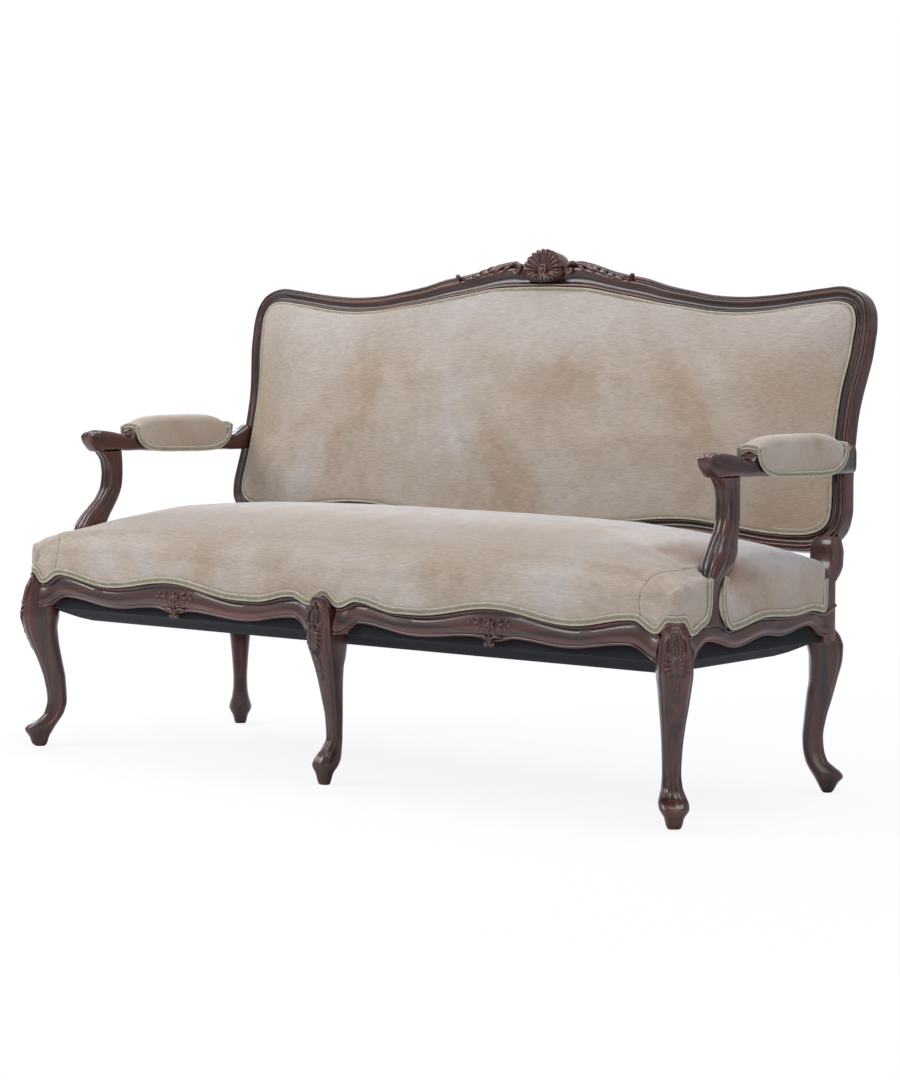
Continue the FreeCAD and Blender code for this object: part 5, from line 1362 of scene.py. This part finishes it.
class SetteeLook(bpy.types.PropertyGroup):
    """Colours and sizes of the settee and its studio."""
    wood_dark: FloatVectorProperty(name="Wood dark", description="Darkest colour of the stain", subtype="COLOR",
                                   default=(0.135, 0.066, 0.058), min=0, max=1)
    wood_light: FloatVectorProperty(name="Wood light", description="Lightest colour of the stain", subtype="COLOR",
                                    default=(0.35, 0.185, 0.145), min=0, max=1)
    wood_roughness: FloatProperty(name="Lacquer roughness", description="Roughness of the lacquer", default=0.30,
                                  min=0.05, max=1, subtype="FACTOR")
    velvet: FloatVectorProperty(name="Velvet", description="Main colour of the pile", subtype="COLOR",
                                default=(0.735, 0.685, 0.635), min=0, max=1)
    velvet_tan: FloatVectorProperty(name="Velvet tan", description="Pile brushed away from the light", subtype="COLOR",
                                    default=(0.685, 0.61, 0.535), min=0, max=1)
    # velvet_grey is the lighter tone of the pile's mottle, the grey towards the top of the back, and the painted sheen
    # over the seat top.
    velvet_grey: FloatVectorProperty(name="Velvet grey", description="Pile brushed towards the light", subtype="COLOR",
                                     default=(0.75, 0.725, 0.71), min=0, max=1)
    braid: FloatVectorProperty(name="Braid", description="Main colour of the braid", subtype="COLOR",
                               default=(0.90, 0.865, 0.775), min=0, max=1)
    braid_zigzag: FloatVectorProperty(name="Braid zigzag", description="Darker yarn of the braid", subtype="COLOR",
                                      default=(0.76, 0.71, 0.58), min=0, max=1)
    swell: FloatProperty(name="Swell", description="Most that a cushion may swell, in millimetres", default=6.0, min=0,
                         max=20)
    floor: FloatVectorProperty(name="Floor", description="Colour of the floor", subtype="COLOR", default=(0.93, 0.93, 0.93),
                               min=0, max=1)


class SETTEE_OT_front_legs(bpy.types.Operator):
    """Carve the three front legs"""
    bl_idname = "settee.front_legs"
    bl_label = "Front legs"

    def execute(self, context):
        right = front_leg("cabriole_leg_front_right", "wood_z")
        seated(mirrored(right, "cabriole_leg_front_left"), "wood", "front_leg_left")
        seated(right, "wood", "front_leg_right")
        seated(centre_leg("cabriole_leg_front_centre", "wood_z"), "wood", "front_leg_centre")
        return {"FINISHED"}


class SETTEE_OT_rear_legs(bpy.types.Operator):
    """Make the two rear legs with their consoles"""
    bl_idname = "settee.rear_legs"
    bl_label = "Rear legs"

    def execute(self, context):
        right = rear_leg("cabriole_leg_rear_right", "wood_z")
        seated(mirrored(right, "cabriole_leg_rear_left"), "wood", "rear_leg_left")
        seated(right, "wood", "rear_leg_right")
        return {"FINISHED"}


class SETTEE_OT_seat_rails(bpy.types.Operator):
    """Make the moulded front and side rails"""
    bl_idname = "settee.seat_rails"
    bl_label = "Seat rails"

    def execute(self, context):
        right = front_rail("moulded_front_rail_right")
        seated(mirrored(right, "moulded_front_rail_left"), "wood", "front_rail_left")
        seated(right, "wood", "front_rail_right")
        side = side_rail("moulded_side_rail_right")
        seated(mirrored(side, "moulded_side_rail_left"), "wood", "side_rail_left")
        seated(side, "wood", "side_rail_right")
        return {"FINISHED"}


class SETTEE_OT_back_frame(bpy.types.Operator):
    """Make the moulded back frame and its carved crest"""
    bl_idname = "settee.back_frame"
    bl_label = "Back frame"

    def execute(self, context):
        crest = new_piece("crest body", *merged([skin(frame_rings(both_ways(CREST), 420)), shell_form()]), finish("wood_x"))
        crest = joined("carved_crest_rail", [crest, carving("crest carving", crest_carving(), finish("wood_x"))])
        seated(crest, "wood", "back_crest_rail")
        right = new_piece("moulded_back_stile_right", *skin(frame_rings(STILE, 150)), finish("wood_z"))
        seated(mirrored(right, "moulded_back_stile_left"), "wood", "back_stile_left")
        seated(right, "wood", "back_stile_right")
        foot = new_piece("moulded_back_foot_rail", *skin(frame_rings(both_ways(list(reversed(FOOT_RAIL))), 300)),
                         finish("wood_x"))
        seated(foot, "wood", "back_foot_rail")
        return {"FINISHED"}


class SETTEE_OT_arms(bpy.types.Operator):
    """Make the reeded arm supports and scrolled arm rests"""
    bl_idname = "settee.arms"
    bl_label = "Arms"

    def execute(self, context):
        support = arm_support("reeded_arm_support_right")
        seated(mirrored(support, "reeded_arm_support_left"), "wood", "arm_support_left")
        seated(support, "wood", "arm_support_right")
        rest = arm_rest("scrolled_arm_rest_right")
        seated(mirrored(rest, "scrolled_arm_rest_left"), "wood", "arm_rest_left")
        seated(rest, "wood", "arm_rest_right")
        return {"FINISHED"}


class SETTEE_OT_seat(bpy.types.Operator):
    """Upholster the sprung seat and stitch its corner seams"""
    bl_idname = "settee.seat"
    bl_label = "Seat cushion"

    def execute(self, context):
        look = context.scene.settee
        seat = soft_copy("velvet_seat", ("seat_cover", "seat_stuffing"), 6.0, 5, "seat")

        def held(p):
            depth = p.y / MM - FRONT_FEET_Y
            low = p.z / MM
            if low < 392 or depth > 532:
                return 1.0
            post = (Vector((abs(p.x) / MM, depth)) - Vector((829, 112))).length
            return 1.0 if post < 34 and low < 470 else 0.0
        puffed(seat, held, 3.0, look.swell)
        sculpted(seat, seat_shape())
        seated(seat, "velvet", "seat_cover", "seat_stuffing")
        runs = []
        for line in seat_seams():
            run = []
            for point in drawn([tuple(p) for p in line], 60):
                spot = Vector(point) * MM
                _, where, normal, _ = seat.closest_point_on_mesh(spot)
                run.append(where + normal * (0.3 * MM))
            runs.append(run)
        seated(stitches("corner_seam_stitches", runs), "velvet")
        return {"FINISHED"}


class SETTEE_OT_back(bpy.types.Operator):
    """Upholster the padded back"""
    bl_idname = "settee.back"
    bl_label = "Back cushion"

    def execute(self, context):
        pad = soft_copy("velvet_back", ("back_cover", "back_stuffing"), 6.0, 6, "back")
        normal = (leaning(0, 0, 10) - leaning(0, 0, 0)).normalized()
        face = leaning(0, 500, 0)

        def held(p):
            return 1.0 if (p - face).dot(normal) > -4.5 * MM else 0.0
        puffed(pad, held, 2.0, 5.0)
        sculpted(pad, back_shape)
        seated(pad, "velvet", "back_cover", "back_stuffing")
        return {"FINISHED"}


class SETTEE_OT_arm_pads(bpy.types.Operator):
    """Upholster the two arm pads"""
    bl_idname = "settee.arm_pads"
    bl_label = "Arm pads"

    def execute(self, context):
        for side, hand in (("right", 1), ("left", -1)):
            pad = pad_cushion("velvet_arm_pad_" + side, hand)
            seated(pad, "velvet", "arm_pad_" + side, "arm_pad_cover_" + side)
        return {"FINISHED"}


def pad_cushion(name, hand):
    """A padded armrest top whose cover reaches down both sides of the arm."""
    rings = []
    edge = [(d, z) for d, z in PAD_EDGE[1:-1]]
    for f in spaced(0, 1, 70):
        depth = PAD_FRONT - 3 + (PAD_BACK - PAD_FRONT + 4) * (0.5 - 0.5 * math.cos(math.pi * f))
        low = eased([(PAD_EDGE[1][0], 657)] + edge[1:-1] + [(526, 657)], depth)[1]
        rise = 29.0 * max(0.0, 1 - abs(2 * (depth - 380) / 272) ** 4.5) ** 0.55
        half = PAD_HALF * (0.86 + 0.14 * min(1.0, rise / 12)) + 0.8
        top = 661 + rise
        shoulder = max(0.8, min(15.0, rise * 0.62 + 1.5))
        inner = 19.6
        ring = []
        for u in spaced(0, 1, 9):
            ring.append((half + 1.2 * math.sin(math.pi * u) * min(1, rise / 20), low + (top - shoulder - low) * u))
        for a in spaced(0, 90, 10)[1:]:
            r = math.radians(a)
            ring.append(((half - 4 * (1 - math.cos(r))) * math.cos(r) ** 0.72 if a < 90 else 0.0,
                         top - shoulder + shoulder * math.sin(r) ** 0.9))
        left = [(-x, z) for x, z in reversed(ring[:-1])]
        under = [(-inner, low), (-inner, max(low, 662)), (0, max(low, 662)), (inner, max(low, 662)), (inner, low)]
        rings.append([at(hand * (PAD_X + x), depth, z) for x, z in ring + left + under])
    pad = new_piece(name, *skin(rings), finish("pad"), crease=70.0)
    swell = pad.modifiers.new("round", "SUBSURF")
    swell.levels = swell.render_levels = 1
    settled(pad, finish("pad"))

    def held(p):
        return 1.0 if p.z < 0.668 else 0.0
    puffed(pad, held, 2.0, 2.0)
    return pad


class SETTEE_OT_braid(bpy.types.Operator):
    """Lay the braid round the seat, the back and the arm pads"""
    bl_idname = "settee.braid"
    bl_label = "Braid"

    def execute(self, context):
        seated(braid("braid_round_seat", seat_braid_runs()), "gimp", "seat_gimp")
        seated(braid("braid_round_back", [opening_path(6.0, -1.2)], closed=True), "gimp", "back_gimp")
        behind = [(p, -o) for p, o in opening_path(5.6, FRAME_THICK + 2.2)]
        seated(braid("braid_round_outside_back", [behind], closed=True), "gimp", "back_outside_gimp")
        for side, hand in (("right", 1), ("left", -1)):
            edging = braid("braid_round_arm_pad_" + side, pad_braid_runs(hand), width=9.0)
            seated(edging, "gimp", "arm_pad_gimp_" + side)
        return {"FINISHED"}


class SETTEE_OT_cloths(bpy.types.Operator):
    """Stretch the cloth behind the back and the black cloth under the seat"""
    bl_idname = "settee.cloths"
    bl_label = "Backing cloths"

    def execute(self, context):
        half = [a for a, _ in CREST] + [a for a, _ in STILE[1:]] + [a for a, _ in FOOT_RAIL[1:]]
        half = drawn(half, 160)
        verts, faces = [], []
        columns = []
        for i in range(0, 161, 1):
            x = -786 + 1572 * i / 160
            top = wave_height(half, abs(x), True)
            low = wave_height(half, abs(x), False)
            columns.append((x, low, top))
        for x, low, top in columns:
            for f in spaced(0, 1, 41):
                z = low + (top - low) * f
                sag = 1.1 * math.sin(math.pi * f) * (1 - (x / 800) ** 2)
                verts.append(leaning(x, z, FRAME_THICK + 0.9 + sag))
        for c in range(len(columns) - 1):
            for r in range(40):
                i = c * 41 + r
                faces.append((i, i + 1, i + 42, i + 41))
        cloth = new_piece("outside_back_cloth", verts, faces, finish("backing"))
        thicken(cloth, 0.8)
        seated(cloth, "backing_cloth", "back_outside_cloth")
        under = dust_sheet("black_dust_cloth")
        seated(under, "dust_cloth", "dust_cover")
        return {"FINISHED"}


def wave_height(half, x, upper):
    """Height of the back's opening at x, on its upper or lower edge."""
    z_mid = 720
    best = None
    for (xa, za), (xb, zb) in zip(half, half[1:]):
        if (za > z_mid) == upper and min(xa, xb) - 1e-6 <= x <= max(xa, xb) + 1e-6 and xa != xb:
            best = za + (zb - za) * (x - xa) / (xb - xa)
            if not upper or best is not None:
                break
    return best if best is not None else (880 if upper else 530)


def thicken(piece, thickness):
    """Give a cloth its thickness."""
    wall = piece.modifiers.new("wall", "SOLIDIFY")
    wall.thickness = thickness * MM
    wall.offset = 0.0
    return settled(piece, None)


DUST_RINGS = [(259, -150), (260, -115), (261, -85), (263, -66), (265, -52), (272, -32), (281, -14), (289, 2), (294, 16),
              (296, 24)]
DUST_TURN_UP = 25.5


def dust_sheet(name):
    """The black cloth under the webbing, pushed down by it and tacked under the rails."""
    rings = []
    inner_depth, rear_depth = SHOW_DEPTH + RAIL_THICK, 500.0
    for z, over in DUST_RINGS + [(0, DUST_TURN_UP)]:
        d0, d1 = inner_depth - over, rear_depth + over
        x0, x1 = side_face(d0) - RAIL_THICK + over, side_face(d1) - RAIL_THICK + over
        ring = []
        for f in spaced(0, 1, 110)[:-1]:
            ring.append(at(-x0 + 2 * x0 * f, d0, z or max(302, wave(FRONT_FOOT, abs(-x0 + 2 * x0 * f))) + 3))
        for f in spaced(0, 1, 40)[:-1]:
            depth = d0 + (d1 - d0) * f
            ring.append(at(x0 + (x1 - x0) * f, depth, z or max(302, wave(SIDE_FOOT, depth)) + 3))
        ring += [at(x1 - 2 * x1 * f, d1, z or 304) for f in spaced(0, 1, 110)[:-1]]
        for f in spaced(0, 1, 40)[:-1]:
            depth = d1 + (d0 - d1) * f
            ring.append(at(-x1 + (x1 - x0) * f, depth, z or max(302, wave(SIDE_FOOT, depth)) + 3))
        rings.append(ring)
    verts, faces = skin(rings, capped=False)
    faces.append(tuple(range(len(rings[0]))))
    sheet = new_piece(name, verts, faces, finish("cambric"))
    thicken(sheet, 0.8)
    return sheet


class SETTEE_OT_inner_parts(bpy.types.Operator):
    """Give the hidden joinery, springs and webbing their finishes"""
    bl_idname = "settee.inner_parts"
    bl_label = "Inner parts"

    def execute(self, context):
        keys = {"wood": "wood_x", "steel": "steel", "jute": "jute", "stuffing": "wadding", "velvet": "back", "gimp": "braid",
                "backing_cloth": "backing", "dust_cloth": "cambric"}
        for entry in frame["record"]["subparts"]:
            node = frame["nodes"].get(entry["node"])
            if node is None:
                continue
            for slot in node.material_slots:
                slot.link = "OBJECT"
                slot.material = finish(keys[entry["material_slot"]])
        return {"FINISHED"}


class SETTEE_OT_studio(bpy.types.Operator):
    """Set up the pale floor, the soft lights and the camera"""
    bl_idname = "settee.studio"
    bl_label = "Studio"

    def execute(self, context):
        scene = context.scene
        look = scene.settee
        scene.view_settings.view_transform = "Standard"
        floor_mesh = bpy.data.meshes.new("studio_floor")
        floor_mesh.from_pydata([(-40, -40, 0), (40, -40, 0), (40, 40, 0), (-40, 40, 0)], [], [(0, 1, 2, 3)])
        floor = bpy.data.objects.new("studio_floor", floor_mesh)
        scene.collection.objects.link(floor)
        material = bpy.data.materials.new("pale floor")
        material.use_nodes = True
        nodes = material.node_tree.nodes
        main = nodes["Principled BSDF"]
        main.inputs["Base Color"].default_value = linear(look.floor)
        main.inputs["Roughness"].default_value = 0.9
        seen = add(nodes, "ShaderNodeLightPath").outputs["Is Camera Ray"]
        place = add(nodes, "ShaderNodeTexCoord").outputs["Object"]
        away = add(nodes, "ShaderNodeVectorMath", {0: place}, operation="LENGTH").outputs["Value"]
        fade = add(nodes, "ShaderNodeMapRange", {"Value": away, "From Min": 0.9, "From Max": 2.6, "To Min": 0.88,
                                                 "To Max": 1.0}, interpolation_type="SMOOTHSTEP").outputs["Result"]
        glow = add(nodes, "ShaderNodeEmission", {"Color": (1, 1, 1, 1), "Strength": 1.0}).outputs[0]
        veil = add(nodes, "ShaderNodeMixShader", {0: maths(nodes, "MULTIPLY", seen, fade), 1: main.outputs[0], 2: glow})
        nodes.id_data.links.new(veil.outputs[0], nodes["Material Output"].inputs["Surface"])
        floor_mesh.materials.append(material)
        world = bpy.data.worlds.new("studio")
        scene.world = world
        world.use_nodes = True
        nodes = world.node_tree.nodes
        sky = nodes["Background"]
        sky.inputs["Color"].default_value = (0.80, 0.86, 1.0, 1)
        sky.inputs["Strength"].default_value = 0.42
        white = add(nodes, "ShaderNodeBackground", {"Color": (1, 1, 1, 1), "Strength": 1.0})
        rays = add(nodes, "ShaderNodeLightPath")
        glossy = maths(nodes, "MULTIPLY", rays.outputs["Is Glossy Ray"], 0.25)
        bright = maths(nodes, "MAXIMUM", rays.outputs["Is Camera Ray"], glossy)
        both = add(nodes, "ShaderNodeMixShader", {0: bright, 1: sky.outputs[0], 2: white.outputs[0]})
        world.node_tree.links.new(both.outputs[0], nodes["World Output"].inputs["Surface"])
        for name, place, aim, size, power, colour in (
                ("window", (-3.0, -2.6, 3.4), (0.0, 0.0, 0.6), (2.6, 2.2), 120, (1.0, 0.97, 0.93)),
                ("sky", (0.6, 0.6, 4.2), (0.0, 0.0, 0.6), (3.6, 2.4), 120, (0.90, 0.95, 1.0)),
                ("fill", (4.2, -3.0, 1.6), (0.2, 0.0, 0.5), (1.6, 2.0), 28, (1.0, 0.96, 0.92)),
                ("rim", (-3.6, 1.4, 2.0), (0.0, 0.1, 0.6), (1.2, 2.0), 50, (0.86, 0.92, 1.0))):
            lamp = bpy.data.lights.new(name, "AREA")
            lamp.shape = "RECTANGLE"
            lamp.size, lamp.size_y = size
            lamp.energy = power
            lamp.color = colour
            light = bpy.data.objects.new(name, lamp)
            light.location = place
            light.rotation_euler = (Vector(aim) - Vector(place)).to_track_quat("-Z", "Y").to_euler()
            scene.collection.objects.link(light)
        camera = bpy.data.cameras.new("camera")
        camera.sensor_width = 36.0
        camera.sensor_fit = "HORIZONTAL"
        camera.lens = 131.136
        camera.clip_end = 60
        view = bpy.data.objects.new("camera", camera)
        view.location = (4.34983, -4.59709 + FRONT_FEET_Y * MM, 0.926)
        view.rotation_euler = (math.radians(85.9177), 0, math.radians(41.3007))
        scene.collection.objects.link(view)
        scene.camera = view
        return {"FINISHED"}


STEPS = (SETTEE_OT_studio, SETTEE_OT_front_legs, SETTEE_OT_rear_legs, SETTEE_OT_seat_rails, SETTEE_OT_back_frame,
         SETTEE_OT_arms, SETTEE_OT_seat, SETTEE_OT_back, SETTEE_OT_arm_pads, SETTEE_OT_braid, SETTEE_OT_cloths,
         SETTEE_OT_inner_parts)


class SETTEE_PT_panel(bpy.types.Panel):
    """Lists the settee's colours and steps"""
    bl_idname = "SETTEE_PT_panel"
    bl_label = "Settee"
    bl_space_type = "VIEW_3D"
    bl_region_type = "UI"
    bl_category = "Settee"

    def draw(self, context):
        look = context.scene.settee
        for key in ("wood_dark", "wood_light", "wood_roughness", "velvet", "velvet_tan", "velvet_grey", "braid",
                    "braid_zigzag", "swell", "floor"):
            self.layout.prop(look, key)
        for step in STEPS:
            self.layout.operator(step.bl_idname)


CLASSES = (SetteeLook,) + STEPS + (SETTEE_PT_panel,)


def register():
    for item in CLASSES:
        bpy.utils.register_class(item)
    bpy.types.Scene.settee = PointerProperty(type=SetteeLook)


def unregister():
    del bpy.types.Scene.settee
    for item in reversed(CLASSES):
        bpy.utils.unregister_class(item)


def main():
    register()
    for step in STEPS:
        group, call = step.bl_idname.split(".")
        getattr(getattr(bpy.ops, group), call)()
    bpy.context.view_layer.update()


if __name__ == "__main__":
    main()
